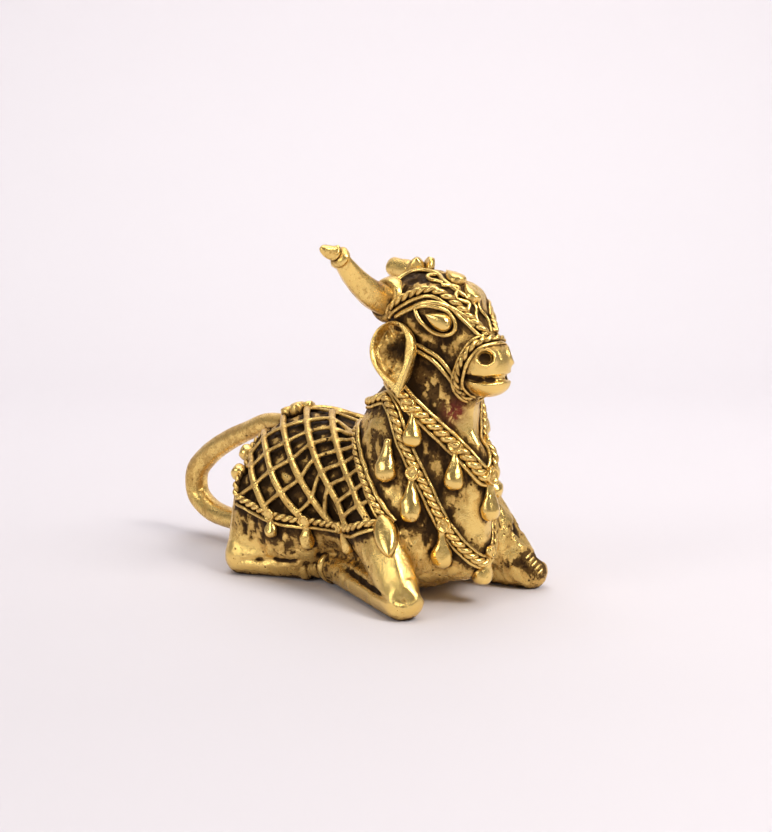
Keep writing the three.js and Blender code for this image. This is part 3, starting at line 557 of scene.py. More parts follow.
def finish_piece(piece, material=None, heights=None):
    """Hands a piece to the frame. Between two heights over the skin, if given, its soot fades out."""
    if heights:
        black, clean = heights
        places = np.empty(len(piece.data.vertices) * 3, np.float32)
        piece.data.vertices.foreach_get("co", places)
        above = body_distance((places.reshape(-1, 3) - shift) / scale)
        set_field(piece.data, "soot", np.clip((clean - above) / (clean - black), 0, 1))
    if material:
        piece.data.materials.append(material)
    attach(piece, "root")
    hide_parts("nandi_bull")


finish_piece(skin, brass("patinated_brass", polish=0.45))


# The tail: a thick rod of wax, rolled by hand and bent into an open loop from the rump round to the
# hocks. It is cast with the body, and hands that lift the figure by it have rubbed it to a satin shine.
TAIL_ROUTE = [
    at(-34, 0, 40), at(-47.4, 0, 39), at(-55.3, 0, 35.8), at(-65.3, 0, 31.4), at(-74.3, 0, 26.1),
    at(-80.8, 0, 19.7), at(-80.6, 0, 13), at(-75, 0, 9), at(-67.2, 0, 7.5), at(-54, 0, 7.5), at(-38, 0, 9),
]
TAIL_RADII = [2.7, 2.8, 3.1, 3.4, 3.4, 3.1, 2.9]  # at even steps from the rump to the hocks


def curve(points, count, closed=False):
    """Points at even steps of a smooth curve through the given ones."""
    n = len(points)
    pieces = n if closed else n - 1
    made = []
    for step in range(count if closed else count + 1):
        t = step / count * pieces
        i = min(int(t), pieces - 1)
        t -= i
        p1, p2 = points[i], points[(i + 1) % n]
        p0 = points[i - 1] if closed or i > 0 else 2 * p1 - p2
        p3 = points[(i + 2) % n] if closed or i + 2 < n else 2 * p2 - p1
        d0, d1, d2 = (math.sqrt(np.linalg.norm(b - a)) for a, b in ((p0, p1), (p1, p2), (p2, p3)))
        m1 = ((p1 - p0) / d0 - (p2 - p0) / (d0 + d1)) * d1 + (p2 - p1)
        m2 = ((p3 - p2) / d2 - (p3 - p1) / (d1 + d2)) * d1 + (p2 - p1)
        a = 2 * t**3 - 3 * t**2 + 1
        made.append(a * p1 + (t**3 - 2 * t**2 + t) * m1 + (1 - a) * p2 + (t**3 - t**2) * m2)
    return np.array(made)


def evenly(points, spacing, closed=False):
    """The same line with its points a fixed way apart."""
    line = np.vstack([points, points[:1]]) if closed else np.asarray(points)
    along = np.concatenate([[0], np.cumsum(np.linalg.norm(np.diff(line, axis=0), axis=1))])
    count = max(int(along[-1] / spacing), 2)
    places = np.linspace(0, along[-1], count + 1)[: count if closed else count + 1]
    return np.stack([np.interp(places, along, line[:, n]) for n in range(3)], 1)


def loft(rings):
    """Joins rings of points with faces that look outwards, and caps the ends."""
    count = len(rings[0])
    points = np.vstack(rings)
    last = (len(rings) - 1) * count
    faces = []
    for a in range(0, last, count):
        b = a + count
        faces += [(a + j, a + (j + 1) % count, b + (j + 1) % count, b + j) for j in range(count)]
    faces.append(tuple(range(count))[::-1])
    faces.append(tuple(range(last, last + count)))
    volume = sum(points[f[0]] @ np.cross(points[f[k]], points[f[k + 1]])
                 for f in faces for k in range(1, len(f) - 1))
    if volume < 0:
        faces = [f[::-1] for f in faces]
    return points, faces


def across_line(line):
    """Two directions across a line at each of its points, that turn as little as they can."""
    tangent = np.gradient(line, axis=0)
    tangent /= np.linalg.norm(tangent, axis=1, keepdims=True)
    side = np.cross(tangent[0], at(0, 0, 1))
    if np.linalg.norm(side) < 0.1:
        side = np.cross(tangent[0], at(0, 1, 0))
    sides = []
    for t in tangent:
        side = side - t * (side @ t)
        side = side / np.linalg.norm(side)
        sides.append(side)
    return np.array(sides), np.cross(tangent, sides)


def ring_round(centre, u, v, angle, reach):
    """A ring of points round a centre, in the plane of two directions."""
    return centre + (np.cos(angle) * reach)[:, None] * u + (np.sin(angle) * reach)[:, None] * v


def tapered(line, radii):
    """A radius at each point of a line, from radii at even steps along it."""
    return np.interp(np.linspace(0, 1, len(line)), np.linspace(0, 1, len(radii)), radii)


def rod(line, radii, sides, section):
    """A rod along a line, with its radius at each point. Its section scales it by angle and place."""
    u, v = across_line(line)
    angle = np.linspace(0, 2 * math.pi, sides, endpoint=False)
    places = np.linspace(0, 1, len(line))
    return loft([ring_round(p, u[i], v[i], angle, radii[i] * section(angle, places[i]))
                 for i, p in enumerate(line)])


def tail_section(angle, t):
    """Slightly oval, with the long way turning along the tail."""
    return 1 + 0.03 * np.cos(2 * angle + 9 * t)


tail_line = evenly(curve(TAIL_ROUTE, 200), 0.8)
tail = mesh_object("tail", *rod(tail_line, tapered(tail_line, TAIL_RADII), 28, tail_section))
finish_piece(tail, brass("rubbed_brass", polish=0.45, soot=0.12, grain=0.35, scratches=0.3))


# The horns, each a rolled taper of wax set in a collar. The right one is whole, with a ring and a
# pointed cap at its tip. The left one was lost above its collar and a worn stump is left.
HORN_ROUTE = [
    at(12, -4, 78.2), at(12, -11, 79.6), at(12, -15.5, 81.6), at(11.4, -20.5, 85.6), at(11.6, -26, 91.1),
]
HORN_RADII = [4.5, 4.4, 3.7, 3.0, 2.2]
HORN_RING = [(2.1, -1.6), (2.7, -1.1), (2.95, -0.3), (2.6, 0.5), (1.9, 1.0), (1.2, 1.2)]
HORN_NECK = [(1.5, 0), (2.05, 0.5), (2.0, 1.1), (1.4, 1.5)]
HORN_CAP = [(1.7, 0), (1.9, 0.9), (1.7, 2.2), (1.35, 3.4), (0.8, 4.4), (0.3, 4.8), (0, 4.9)]
STUMP = [(4.3, -3), (4.2, 0), (4.1, 1.4), (3.7, 2.8), (2.7, 3.5), (1.3, 3.3), (0, 3.1)]
COLLAR = [(5.2, -2), (6.0, 0.4), (6.1, 2.2), (5.6, 3.4), (5.0, 4.1), (4.3, 4.3)]


def turned(profile, origin, direction, sides=20, uneven=0.0, seed=0):
    """A turned shape from [radius, height] pairs along a direction, more or less uneven."""
    axis = direction / np.linalg.norm(direction)
    u = np.cross(axis, at(1, 0, 0) if abs(axis[0]) < 0.8 else at(0, 1, 0))
    u /= np.linalg.norm(u)
    v = np.cross(axis, u)
    angle = np.linspace(0, 2 * math.pi, sides, endpoint=False)
    rings = []
    for r, h in profile:
        lumpy = 1 + uneven * np.sin(angle * 3 + seed + h) + uneven * 0.6 * np.sin(angle * 5 + 2 * seed)
        rings.append(ring_round(origin + axis * h, u, v, angle, max(r, 0.02) * lumpy))
    return loft(rings)


def rounded(profile, steps=4):
    """A turned profile with its corners eased."""
    flat = curve([at(r, h, 0) for r, h in profile], steps * (len(profile) - 1))
    return [(max(p[0], 0.0), p[1]) for p in flat]


def horn_section(angle, t):
    """Nearly square with round corners, as fingers leave a rolled taper."""
    return 1 - 0.08 * np.cos(angle * 4 + 0.9 + t) - 0.02 * np.cos(angle * 3 + 5 * t)


def joined(parts):
    """Several pieces of wax as one mesh."""
    points, faces = [], []
    for more_points, more_faces in parts:
        start = sum(len(p) for p in points)
        points.append(more_points)
        faces += [tuple(int(v) + start for v in f) for f in more_faces]
    return np.vstack(points), faces


horn_line = evenly(curve(HORN_ROUTE, 60), 0.4)
horns = [rod(horn_line, tapered(horn_line, HORN_RADII), 30, horn_section)]
for profile, foot, way, uneven, seed in (
    (HORN_RING, at(11.6, -26, 91.1), at(-0.1, -1, 0.6), 0.035, 1),
    (HORN_NECK, at(11.5, -26.8, 91.9), at(-0.2, -1, 0.5), 0.06, 2),
    (HORN_CAP, at(11.4, -27, 92), at(-0.25, -1, 0.35), 0.07, 3),
    (STUMP, at(12.4, 10.8, 79.8), at(-0.05, 1, 0.3), 0.06, 5),
):
    horns.append(turned(rounded(profile), foot, way, uneven=uneven, seed=seed))
for s in (-1, 1):
    horns.append(turned(rounded(COLLAR), at(12.6, 7.4 * s, 79), at(-0.05, s, 0.22), 28, 0.015, 7 + s))
horn_points, horn_faces = joined(horns)
# Soot where the horn meets its collar and at its ring, and painted shade along the underside of the horn.
horn_soot = 0.9 * near(horn_points, at(11, -12, 75.5), 6) + 0.5 * near(horn_points, at(9, -20, 83), 5)
horn_soot += 0.8 * near(horn_points, at(11.4, -26, 91.2), 2.5)
horn_stain = 1.2 * near(horn_points, at(14, -15, 84.5), 3.4)
horn_piece = mesh_object("horns", horn_points, horn_faces, red=horn_stain, soot=horn_soot)
finish_piece(horn_piece, brass("horn_brass", polish=0.65, grain=0.6, scratches=0.15))


# The ears: leaf-shaped bowls pressed from wax sheet, with a rolled rim and a rough hollow. Each one is
# stuck on below its horn by the stalk end and hangs down and outwards. They're cast with the head.
EAR_WIDTH = 12.0
EAR_HOLLOW = 2.0  # depth
EAR_RIM = 1.0  # height
EAR_BACK = 4.5  # thickness behind the rim


def leaf_width(u, width, sharpness):
    """Half width of a leaf at places along it, pointed at 0 and round at 1."""
    t = np.arccos(np.clip(1 - 2 * u, -1, 1))
    return width / 2 * np.sin(t) * np.sin(t / 2) ** sharpness * (1 + 0.3 * sharpness)


def ear(tip, root, outward):
    """A leaf with a flat raised rim, wider in front, a rough hollow inside it and a rounded back."""
    along = root - tip
    up = outward - along * (outward @ along) / (along @ along)
    up /= np.linalg.norm(up)
    across = np.cross(up, along / np.linalg.norm(along))
    front = 1 if across[0] > 0 else -1
    v = np.sin(np.linspace(-math.pi / 2, math.pi / 2, 47))
    rear = -EAR_BACK * (1 - v**2) ** 0.5
    rings = []
    for u in (1 - np.cos(np.linspace(0.12, math.pi - 0.12, 60))) / 2:
        half = leaf_width(np.array([u]), EAR_WIDTH, 1.15)[0] * (1 + 0.12 * math.sin(4.4 * u - 0.6))
        line = tip + along * u + (v * half)[:, None] * across
        rim_width = 1.1 + (v * front > 0) * (0.3 + 0.9 * math.exp(-(((u - 0.55) / 0.17) ** 2)))
        rim_width += 1.6 * math.exp(-((u / 0.24) ** 2))
        inwards = (1 - np.abs(v)) * half
        fall = np.clip((inwards - rim_width) / 0.7, 0, 1)
        lumps = np.array([noise.noise(Vector(p) * 0.55) + 0.6 * noise.noise(Vector(p) * 1.3) for p in line])
        floor_depth = EAR_HOLLOW * (0.5 + 0.7 * u) - 1.1 * lumps * (u > 0.36)
        face = EAR_RIM * np.sqrt(np.clip(inwards / 0.45, 0, 1)) * (1 - fall) - floor_depth * fall**1.5
        thinned = min(1.0, half / (0.3 * EAR_WIDTH))
        top = line + (face * thinned)[:, None] * up
        bottom = line + ((rear - 0.25) * thinned)[:, None] * up
        rings.append(np.vstack([top, bottom[::-1]]))
    return loft(rings)


ears = both(lambda s: ear(at(24.8, 18.2 * s, 55.8), at(17, 13.6 * s, 74.2), at(0.234, 0.927 * s, 0.293)))
ear_points, ear_faces = joined(ears)
ear_soot = 1.9 * near(np.abs(ear_points), at(20.6, 14.2, 67.8), 6) - 0.2
ear_piece = mesh_object("ears", ear_points, ear_faces, soot=ear_soot)
finish_piece(ear_piece, brass("ear_brass", polish=0.6, grain=1.3))


# The ropes and threads: wax that the caster rolls thin, twists two together for a rope, and lays on the
# skin. Their joins melt a little when they're pressed down. One node tree makes them all.
THREAD_RADIUS = 0.5
ROPE_STRAND_RADIUS = 0.76
ROPE_TWIST_RADIUS = 0.54
ROPE_PITCH = 4.8
thread_brass = brass("wax_thread_brass", polish=0.7, soot=0.05, grain=0.45, crevice=0.001)


def new_tree(name, sockets):
    """A node tree that makes one mesh from another: its inputs, and the function that adds its nodes."""
    tree = bpy.data.node_groups.new(name, "GeometryNodeTree")
    for socket, kind in {"Geometry": "Geometry", **sockets, "Material": "Material"}.items():
        tree.interface.new_socket(socket, in_out="INPUT", socket_type="NodeSocket" + kind)
    tree.interface.new_socket("Geometry", in_out="OUTPUT", socket_type="NodeSocketGeometry")
    return tree, tree.nodes.new("NodeGroupInput").outputs, node_adder(tree)


def close_tree(add, geometry, material):
    """Ends a tree: what it made becomes one real mesh and takes its material."""
    real = add("GeometryNodeRealizeInstances", {"Geometry": geometry}).outputs[0]
    coloured = add("GeometryNodeSetMaterial", {"Geometry": real, "Material": material}).outputs[0]
    add("NodeGroupOutput", {"Geometry": coloured})


def named(add, name, kind="FLOAT_VECTOR"):
    """What a point of the source mesh keeps under a name."""
    return add("GeometryNodeInputNamedAttribute", {"Name": name}, data_type=kind).outputs[0]


def vector_math(add, operation, *values):
    """The result of a sum on directions."""
    return add("ShaderNodeVectorMath", dict(enumerate(values)), operation=operation).outputs[0]


def scaled(add, vector, by):
    """A direction made longer or shorter by a number."""
    return add("ShaderNodeVectorMath", {0: vector, "Scale": by}, operation="SCALE").outputs[0]


def swept(add, line, radius, sides, thickness):
    """A round section run along a line, as thick as each point says, with its ends closed."""
    circle = add("GeometryNodeCurvePrimitiveCircle", {"Resolution": sides, "Radius": radius}).outputs["Curve"]
    return add("GeometryNodeCurveToMesh", {
        "Curve": line, "Profile Curve": circle, "Scale": thickness, "Fill Caps": True,
    }).outputs[0]


def thread_tree():
    """One strand along a line, or several that twist round it, uneven as fingers leave them."""
    tree, given, add = new_tree("wax_thread", {
        "Strands": "Int", "Strand Radius": "Float", "Twist Radius": "Float", "Pitch": "Float",
        "Unevenness": "Float", "Seed": "Float",
    })

    def calc(operation, a, b=0.0):
        return add("ShaderNodeMath", {0: a, 1: b}, operation=operation).outputs[0]

    line = add("GeometryNodeMeshToCurve", {"Mesh": given["Geometry"]}).outputs[0]
    length = add("GeometryNodeSplineParameter").outputs["Length"]
    line = add("GeometryNodeStoreNamedAttribute", {"Geometry": line, "Name": "along", "Value": length},
               data_type="FLOAT", domain="POINT").outputs[0]
    strands = add("GeometryNodeDuplicateElements", {"Geometry": line, "Amount": given["Strands"]},
                  domain="SPLINE")
    thick = named(add, "thick", "FLOAT")
    up = named(add, "up")
    tangent = add("GeometryNodeInputTangent").outputs[0]
    side = vector_math(add, "NORMALIZE", vector_math(add, "CROSS_PRODUCT", tangent, up))
    turns = calc("DIVIDE", named(add, "along", "FLOAT"), given["Pitch"])
    turns = calc("ADD", turns, calc("DIVIDE", strands.outputs["Duplicate Index"], given["Strands"]))
    angle = calc("MULTIPLY", turns, 2 * math.pi)
    reach = calc("MULTIPLY", given["Twist Radius"], thick)
    sideways = scaled(add, side, calc("MULTIPLY", calc("COSINE", angle), reach))
    upwards = scaled(add, up, calc("MULTIPLY", calc("SINE", angle), reach))
    twist = vector_math(add, "ADD", sideways, upwards)
    seed = add("ShaderNodeCombineXYZ", {"X": given["Seed"]}).outputs[0]
    seeded = vector_math(add, "ADD", add("GeometryNodeInputPosition").outputs[0], seed)
    noisy = add("ShaderNodeTexNoise", {"Vector": seeded, "Scale": 330.0, "Detail": 2.0})
    wander = vector_math(add, "SUBTRACT", noisy.outputs["Color"], (0.5, 0.5, 0.5))
    wander = scaled(add, wander, calc("MULTIPLY", given["Unevenness"], given["Strand Radius"]))
    laid = add("GeometryNodeSetPosition", {
        "Geometry": strands.outputs["Geometry"], "Offset": vector_math(add, "ADD", twist, wander),
    }).outputs[0]
    swell = calc("MULTIPLY", calc("SUBTRACT", noisy.outputs["Fac"], 0.5), given["Unevenness"])
    swell = calc("MULTIPLY", calc("ADD", swell, 1.0), thick)
    tube = swept(add, laid, given["Strand Radius"], 8, swell)
    smooth = add("GeometryNodeSetShadeSmooth", {"Geometry": tube}).outputs[0]
    close_tree(add, smooth, given["Material"])
    return tree


THREADS = thread_tree()


def grown(name, source, tree, values):
    """The mesh that a node tree makes from a source mesh, as a plain object."""
    holder = placed(name + "_source", source)
    modifier = holder.modifiers.new("tree", "NODES")
    modifier.node_group = tree
    sockets = {i.name: i.identifier for i in tree.interface.items_tree if i.in_out == "INPUT"}
    for key, value in values.items():
        modifier[sockets[key]] = value
    graph = bpy.context.evaluated_depsgraph_get()
    mesh = bpy.data.meshes.new_from_object(holder.evaluated_get(graph), depsgraph=graph)
    bpy.data.objects.remove(holder)
    mesh.name = name
    return placed(name, mesh)


THREAD_STEP = 0.25  # from one point of a laid line to the next
ORNAMENT_POINTS = []  # where threads and drops touch the skin, so that soot gathers beside them


def lay(points, height=0.3, aside=0.0, closed=False, thick=1.0):
    """A thread's line on the skin: its points, the way up from the skin and its thickness at each."""
    line = evenly(settle(curve(points, 12 * len(points), closed)), THREAD_STEP, closed)
    if aside:
        tangent = np.gradient(line, axis=0)
        across = np.cross(tangent, slope(line))
        line = settle(line + aside * across / np.linalg.norm(across, axis=1, keepdims=True))
    up = slope(line)
    ORNAMENT_POINTS.append(line)
    return line + up * height, up, np.full(len(line), thick), closed


def lines_mesh(name, routes):
    """A mesh of plain edges along laid lines."""
    mesh = bpy.data.meshes.new(name + "_lines")
    edges = []
    start = 0
    for line, _, _, closed in routes:
        count = len(line)
        edges += [(start + i, start + (i + 1) % count) for i in range(count if closed else count - 1)]
        start += count
    mesh.from_pydata(in_scene(np.vstack([route[0] for route in routes])).tolist(), edges, [])
    return mesh


def threads(name, routes, radius=THREAD_RADIUS, twist=0.05, pitch=6.0, strands=1, uneven=0.35,
            heights=(-0.1, 0.4)):
    """Rolls wax along laid lines and finishes it as one piece."""
    source = lines_mesh(name, routes)
    set_field(source, "up", np.vstack([route[1] for route in routes]))
    set_field(source, "thick", np.concatenate([route[2] for route in routes]))
    piece = grown(name, source, THREADS, {
        "Strands": strands, "Strand Radius": radius * scale, "Twist Radius": twist * scale,
        "Pitch": pitch * scale, "Unevenness": uneven, "Seed": 0.0, "Material": thread_brass,
    })
    finish_piece(piece, heights=heights)


def both_halves(half):
    """A closed route from its half on the left side, which starts and ends on the middle plane."""
    return half + mirrored(half[-2:0:-1])


# The necklaces: one high round the neck and one round its base that hangs to the foot of the chest. Each
# is a twisted rope pressed on between two plain threads, and so is the nose rope round the muzzle.
UPPER_NECKLACE = both_halves([
    at(7.5, 0, 58.5), at(13, 11, 59), at(20.2, 12.8, 56.2), at(26.6, 10.1, 49.8), at(33.1, 5.3, 42.4),
    at(39, 0, 34.4),
])
LOWER_NECKLACE = both_halves([
    at(2, 0, 49.5), at(8, 11.5, 52.5), at(14.5, 13.4, 54.5), at(19.3, 14.1, 50.7), at(23, 14.1, 43),
    at(28.4, 11.5, 31.3), at(32.3, 8.9, 22.3), at(36.4, 4.4, 15), at(38, 0, 12),
])
NOSE_ROPE = both_halves([
    at(40.6, 0, 70.2), at(38.8, 5.4, 68.6), at(36.6, 7.1, 64.2), at(34, 5.5, 59), at(33.4, 0, 56.4),
])
ropes, wires = [], []
ropes.append(lay(UPPER_NECKLACE, 0.6, closed=True, thick=1.2))
ropes.append(lay(LOWER_NECKLACE, 0.55, closed=True))
ropes.append(lay(NOSE_ROPE, 0.5, closed=True, thick=0.78))
wires += [lay(UPPER_NECKLACE, 0.3, side, closed=True, thick=1.15) for side in (-1.95, 1.95)]
wires += [lay(LOWER_NECKLACE, 0.2, side, closed=True) for side in (-1.6, 1.6)]
wires += [lay(NOSE_ROPE, 0.25, side, closed=True) for side in (-1.6, 1.6)]

# The headstall: a rope beside a thread from each horn down the middle of the face, a curl on the nose
# and double cheek straps to the nose rope. The forehead's other threads are on the right side alone.
RIGHT_BROW = [
    at(18.5, -12.2, 75.5), at(24.4, -11.6, 78.4), at(29.3, -10, 79.6), at(34, -5.6, 77.4),
    at(37.5, -3.4, 73.8),
]
RIGHT_ZIGZAG = [
    at(28.2, -6.2, 83), at(31.4, -2.8, 83.2), at(32.4, -5.2, 80.6), at(34.8, -2.4, 79.6),
    at(35.4, -3.8, 77.6),
]
RIGHT_ARCH = [
    at(13.6, -8, 83), at(15.6, -4.4, 86.6), at(20, -3, 87.6), at(24.5, -3, 86.6), at(29, -4.6, 83.6),
    at(33, -2.6, 81),
]
RIGHT_HOOK = [at(24.5, -3, 86.6), at(22.6, -5.2, 86), at(25, -6, 85), at(28.2, -5.4, 84)]
for s in (-1, 1):
    band = [at(14.5, 11.4 * s, 76.6), at(19.4, 11.3 * s, 79.9), at(23.2, 10.4 * s, 81.6),
            at(27.6, 9 * s, 82.3), at(31.3, 7 * s, 80.8), at(34.5, 4.6 * s, 77.8), at(39.6, 1.2 * s, 71.5)]
    if s > 0:
        band[2:6] = [at(23.2, 12, 78.5), at(27.6, 11.3, 77.6), at(31.3, 9.6, 76), at(34.5, 6.4, 74.8)]
    ropes.append(lay(band, 0.5, thick=0.9))
    wires.append(lay(band, 0.3, -1.75 * s))
    if s < 0:
        wires.append(lay(RIGHT_BROW, 0.35, thick=1.25))
    strap = [at(21.6, 11 * s, 69), at(27.3, 9 * s, 66.1), at(30.6, 7.3 * s, 63.1), at(34.4, 4.6 * s, 57.8)]
    wires += [lay(strap, 0.3, side, thick=1.1) for side in (-0.75, 0.75)]
    curl = [at(33, 2.4 * s, 81), at(35.4, 0.6 * s, 78.2), at(36.8, 2 * s, 75.6), at(39, 0.8 * s, 71.6)]
    wires.append(lay(curl, 0.3))
wires.append(lay(RIGHT_ZIGZAG, 0.35, thick=1.25))
wires.append(lay(RIGHT_ARCH, 0.4, thick=1.3))
wires.append(lay(RIGHT_HOOK, 0.35, thick=1.1))


# The saddle cloth's borders: a twisted rope with a thread on each side in front, one rope behind, and a
# rope with a thread below it along each lower edge. They hold the net and are pressed on with it.
def flank(x, degrees, side):
    """A place on the barrel, by how far forward it is and its angle down from the ridge of the back."""
    angle = math.radians(degrees)
    out = at(0, side * math.sin(angle), math.cos(angle))
    p = at(x, 0, BARREL_HEIGHT) + out * 30
    for _ in range(16):
        p = p - out * body_distance(p[None])[0]
    return p


def cloth_line(place, first, last, side, steps=6):
    """A line on one side of the barrel, whose place along the bull depends on its angle."""
    return [flank(place(angle), angle, side) for angle in np.linspace(first, last, steps + 1)]


def over_the_back(place, last):
    """Such a line from the right side over the ridge to the left, as far down on both sides."""
    return cloth_line(place, last, 0, -1) + cloth_line(place, 0, last, 1)[1:]


ropes.append(lay(over_the_back(front_edge, 88), 0.5, thick=0.85))
ropes.append(lay(over_the_back(rear_edge, 90), 0.5, thick=0.85))
wires.append(lay(over_the_back(lambda angle: front_edge(angle) + 2.0, 86), 0.3, thick=1.4))
wires.append(lay(over_the_back(lambda angle: front_edge(angle) - 1.3, 86), 0.2))
for s in (-1, 1):
    edge = [flank(x, low_edge(x), s) for x in (-33, -25, -15, -4, 8, 22)]
    ropes.append(lay(edge, 0.5, thick=0.85))
    wires.append(lay([p - at(0, 0, 2.1) for p in edge], 0.25, thick=1.1))
threads("twisted_ropes", ropes, ROPE_STRAND_RADIUS, ROPE_TWIST_RADIUS, ROPE_PITCH, strands=2,
        uneven=0.25, heights=(0.35, 1.1))
threads("plain_threads", wires)

# A short row of worn strokes across the left knee: thin low threads of wax, now nearly rubbed away, with
# soot left between them
STROKE_HALF = at(0.1, 0.88, 0.45)  # from the middle of a stroke to its end
strokes = [lay([middle - STROKE_HALF, middle + STROKE_HALF], 0.05, thick=0.62)
           for middle in np.linspace(at(36, 20.7, 9.5), at(38.6, 22.5, 5.3), 5)]
threads("knee_strokes", strokes, heights=(-0.6, -0.3))


# The net of the saddle cloth: slanting ribs of wax with thinner threads laid across them, melted
# together at every crossing and pressed down into the sunk bed between the borders
RIB_RADIUS = 1.12
MELT_CELL = 0.27  # size of the cells in which the threads run together
LUMP_LENGTH = 18  # points of a line from one lump to the next
RIB_CROSSINGS = [(40, 13), (27, 13.4), (18.4, 12.4), (11.6, 9.7), (2.2, 9.5)]  # angle of the first, step on
REAR_ENDS = [30, 66, 90]  # where the first crossing threads reach the rear border
net_brass = brass("net_brass", polish=0.05, grain=0.8, crevice=0.001)


def net_tree():
    """Round threads along lines, made one solid and evened out as wax is where it has melted."""
    tree, given, add = new_tree("melted_net", {"Radius": "Float", "Cell": "Float"})
    line = add("GeometryNodeMeshToCurve", {"Mesh": given["Geometry"]}).outputs[0]
    tubes = swept(add, line, given["Radius"], 10, named(add, "thick", "FLOAT"))
    solid = add("GeometryNodeMeshToVolume", {
        "Mesh": tubes, "Voxel Size": given["Cell"], "Interior Band Width": 0.001,
    }, resolution_mode="VOXEL_SIZE").outputs[0]
    melted = add("GeometryNodeVolumeToMesh", {
        "Volume": solid, "Voxel Size": given["Cell"], "Threshold": 0.1,
    }, resolution_mode="VOXEL_SIZE").outputs[0]
    place = add("GeometryNodeInputPosition").outputs[0]
    evened = add("GeometryNodeBlurAttribute", {"Value": place, "Iterations": 3},
                 data_type="FLOAT_VECTOR").outputs[0]
    relaxed = add("GeometryNodeSetPosition", {"Geometry": melted, "Position": evened}).outputs[0]
    smooth = add("GeometryNodeSetShadeSmooth", {"Geometry": relaxed}).outputs[0]
    close_tree(add, smooth, given["Material"])
    return tree


def rib_place(rib, angle):
    """Where a rib crosses an angle, along the bull."""
    return -60.4 + 10.3 * rib + 0.42 * angle


def cross_thread(wire, side):
    """The knots of a thread that runs back from the front border, from rib to rib."""
    front = 24 + 0.75 * wire * wire
    knots = [flank(front_edge(front), front, side)]
    for rib in range(4, -1, -1):
        first, step = RIB_CROSSINGS[rib]
        angle = first + step * wire
        x = rib_place(rib, angle)
        if angle > low_edge(x) or x < rear_edge(angle):
            break
        knots.append(flank(x, angle, side))
    if wire <= len(REAR_ENDS):
        end = REAR_ENDS[wire - 1]
        knots.append(flank(rear_edge(end), end, side))
    return knots


net = [lay([flank(x, 0, 1) for x in (-42, -30, -18, -6)], 0.15, thick=0.6)]
for s in (-1, 1):
    for rib in range(5):
        first = next(angle for angle in range(120) if rib_place(rib, angle) >= rear_edge(angle))
        last = next(angle for angle in range(first, 140) if angle >= low_edge(rib_place(rib, angle)))
        net.append(lay(cloth_line(lambda angle: rib_place(rib, angle), first, last, s), 0.15))
    for wire in range(1, 9):
        knots = cross_thread(wire, s)
        if len(knots) > 1:
            net.append(lay(knots, 0.25, thick=0.66))
chance = np.random.default_rng(7)
thickness = []
for line, _, thick, _ in net:
    lump_places = np.arange(0, len(line) + LUMP_LENGTH, LUMP_LENGTH)
    lumps = chance.uniform(0.92, 1.1, len(lump_places))
    thickness.append(thick * np.interp(np.arange(len(line)), lump_places, lumps))
net_lines = lines_mesh("net", net)
set_field(net_lines, "thick", np.concatenate(thickness))
net_piece = grown("saddle_net", net_lines, net_tree(), {
    "Radius": RIB_RADIUS * scale, "Cell": MELT_CELL * scale, "Material": net_brass,
})
finish_piece(net_piece, heights=(-0.7, 0.2))


# The drops and discs: balls of wax rolled to a point and small hollow discs, pressed on along the
# necklaces and below the cloth. Each drop hangs from its disc, but is cast to the skin all the way.
DROP_PROFILE = [  # as shares of the radius and the length
    (0.0, 0.02), (0.34, 0.0), (0.38, -0.14), (0.5, -0.3), (0.7, -0.44), (0.9, -0.57), (1.0, -0.71),
    (0.95, -0.84), (0.72, -0.94), (0.35, -0.99), (0.0, -1.0),
]
DISC_PROFILE = [
    (0.0, -0.6), (0.95, -0.6), (1.0, 0.1), (0.95, 0.38), (0.82, 0.46), (0.7, 0.36), (0.6, 0.2), (0.0, 0.16),
]
DISC_LIFT = 1.25  # of a disc's middle above the skin
drop_brass = brass("polished_drop_brass", polish=1.05, grain=0.4)
DROPS, DISCS = [], []  # place, way up, way outwards and size of each


def drop_shape():
    """A drop of unit size that hangs down from its top, with a shallow groove up its front."""
    points, faces = turned(rounded(DROP_PROFILE, 3), at(0, 0, 0), at(0, 0, 1), 20)
    grooved = (np.abs(points[:, 1]) < 0.12) & (points[:, 2] > -0.7)
    points[:, 0] *= np.where(grooved, 0.9, 1)
    return points, faces


def pressing_tree():
    """Sets a shape on every point, turned and sized as the point says, and dents it a little."""
    tree, given, add = new_tree("pressed_on", {
        "Shape": "Object", "Unevenness": "Float", "Dents": "Float", "Seed": "Int",
    })
    shape = add("GeometryNodeObjectInfo", {"Object": given["Shape"]}).outputs["Geometry"]
    upright = add("FunctionNodeAlignRotationToVector", {"Vector": named(add, "axis")}, axis="Z").outputs[0]
    facing = add("FunctionNodeAlignRotationToVector", {"Rotation": upright, "Vector": named(add, "outward")},
                 axis="X", pivot_axis="Z").outputs[0]
    chance = add("FunctionNodeRandomValue", {
        "Min": (-0.5, -0.5, -0.5), "Max": (0.5, 0.5, 0.5), "Seed": given["Seed"],
    }, data_type="FLOAT_VECTOR").outputs["Value"]
    size = named(add, "size")
    varied = vector_math(add, "MULTIPLY_ADD", scaled(add, chance, given["Unevenness"]), size, size)
    instances = add("GeometryNodeInstanceOnPoints", {
        "Points": given["Geometry"], "Instance": shape, "Rotation": facing, "Scale": varied,
    }).outputs[0]
    real = add("GeometryNodeRealizeInstances", {"Geometry": instances}).outputs[0]
    lumps = add("ShaderNodeTexNoise", {"Scale": 300.0, "Detail": 1.0}).outputs["Color"]
    dents = scaled(add, vector_math(add, "SUBTRACT", lumps, (0.5, 0.5, 0.5)), given["Dents"])
    dented = add("GeometryNodeSetPosition", {"Geometry": real, "Offset": dents}).outputs[0]
    close_tree(add, dented, given["Material"])
    return tree


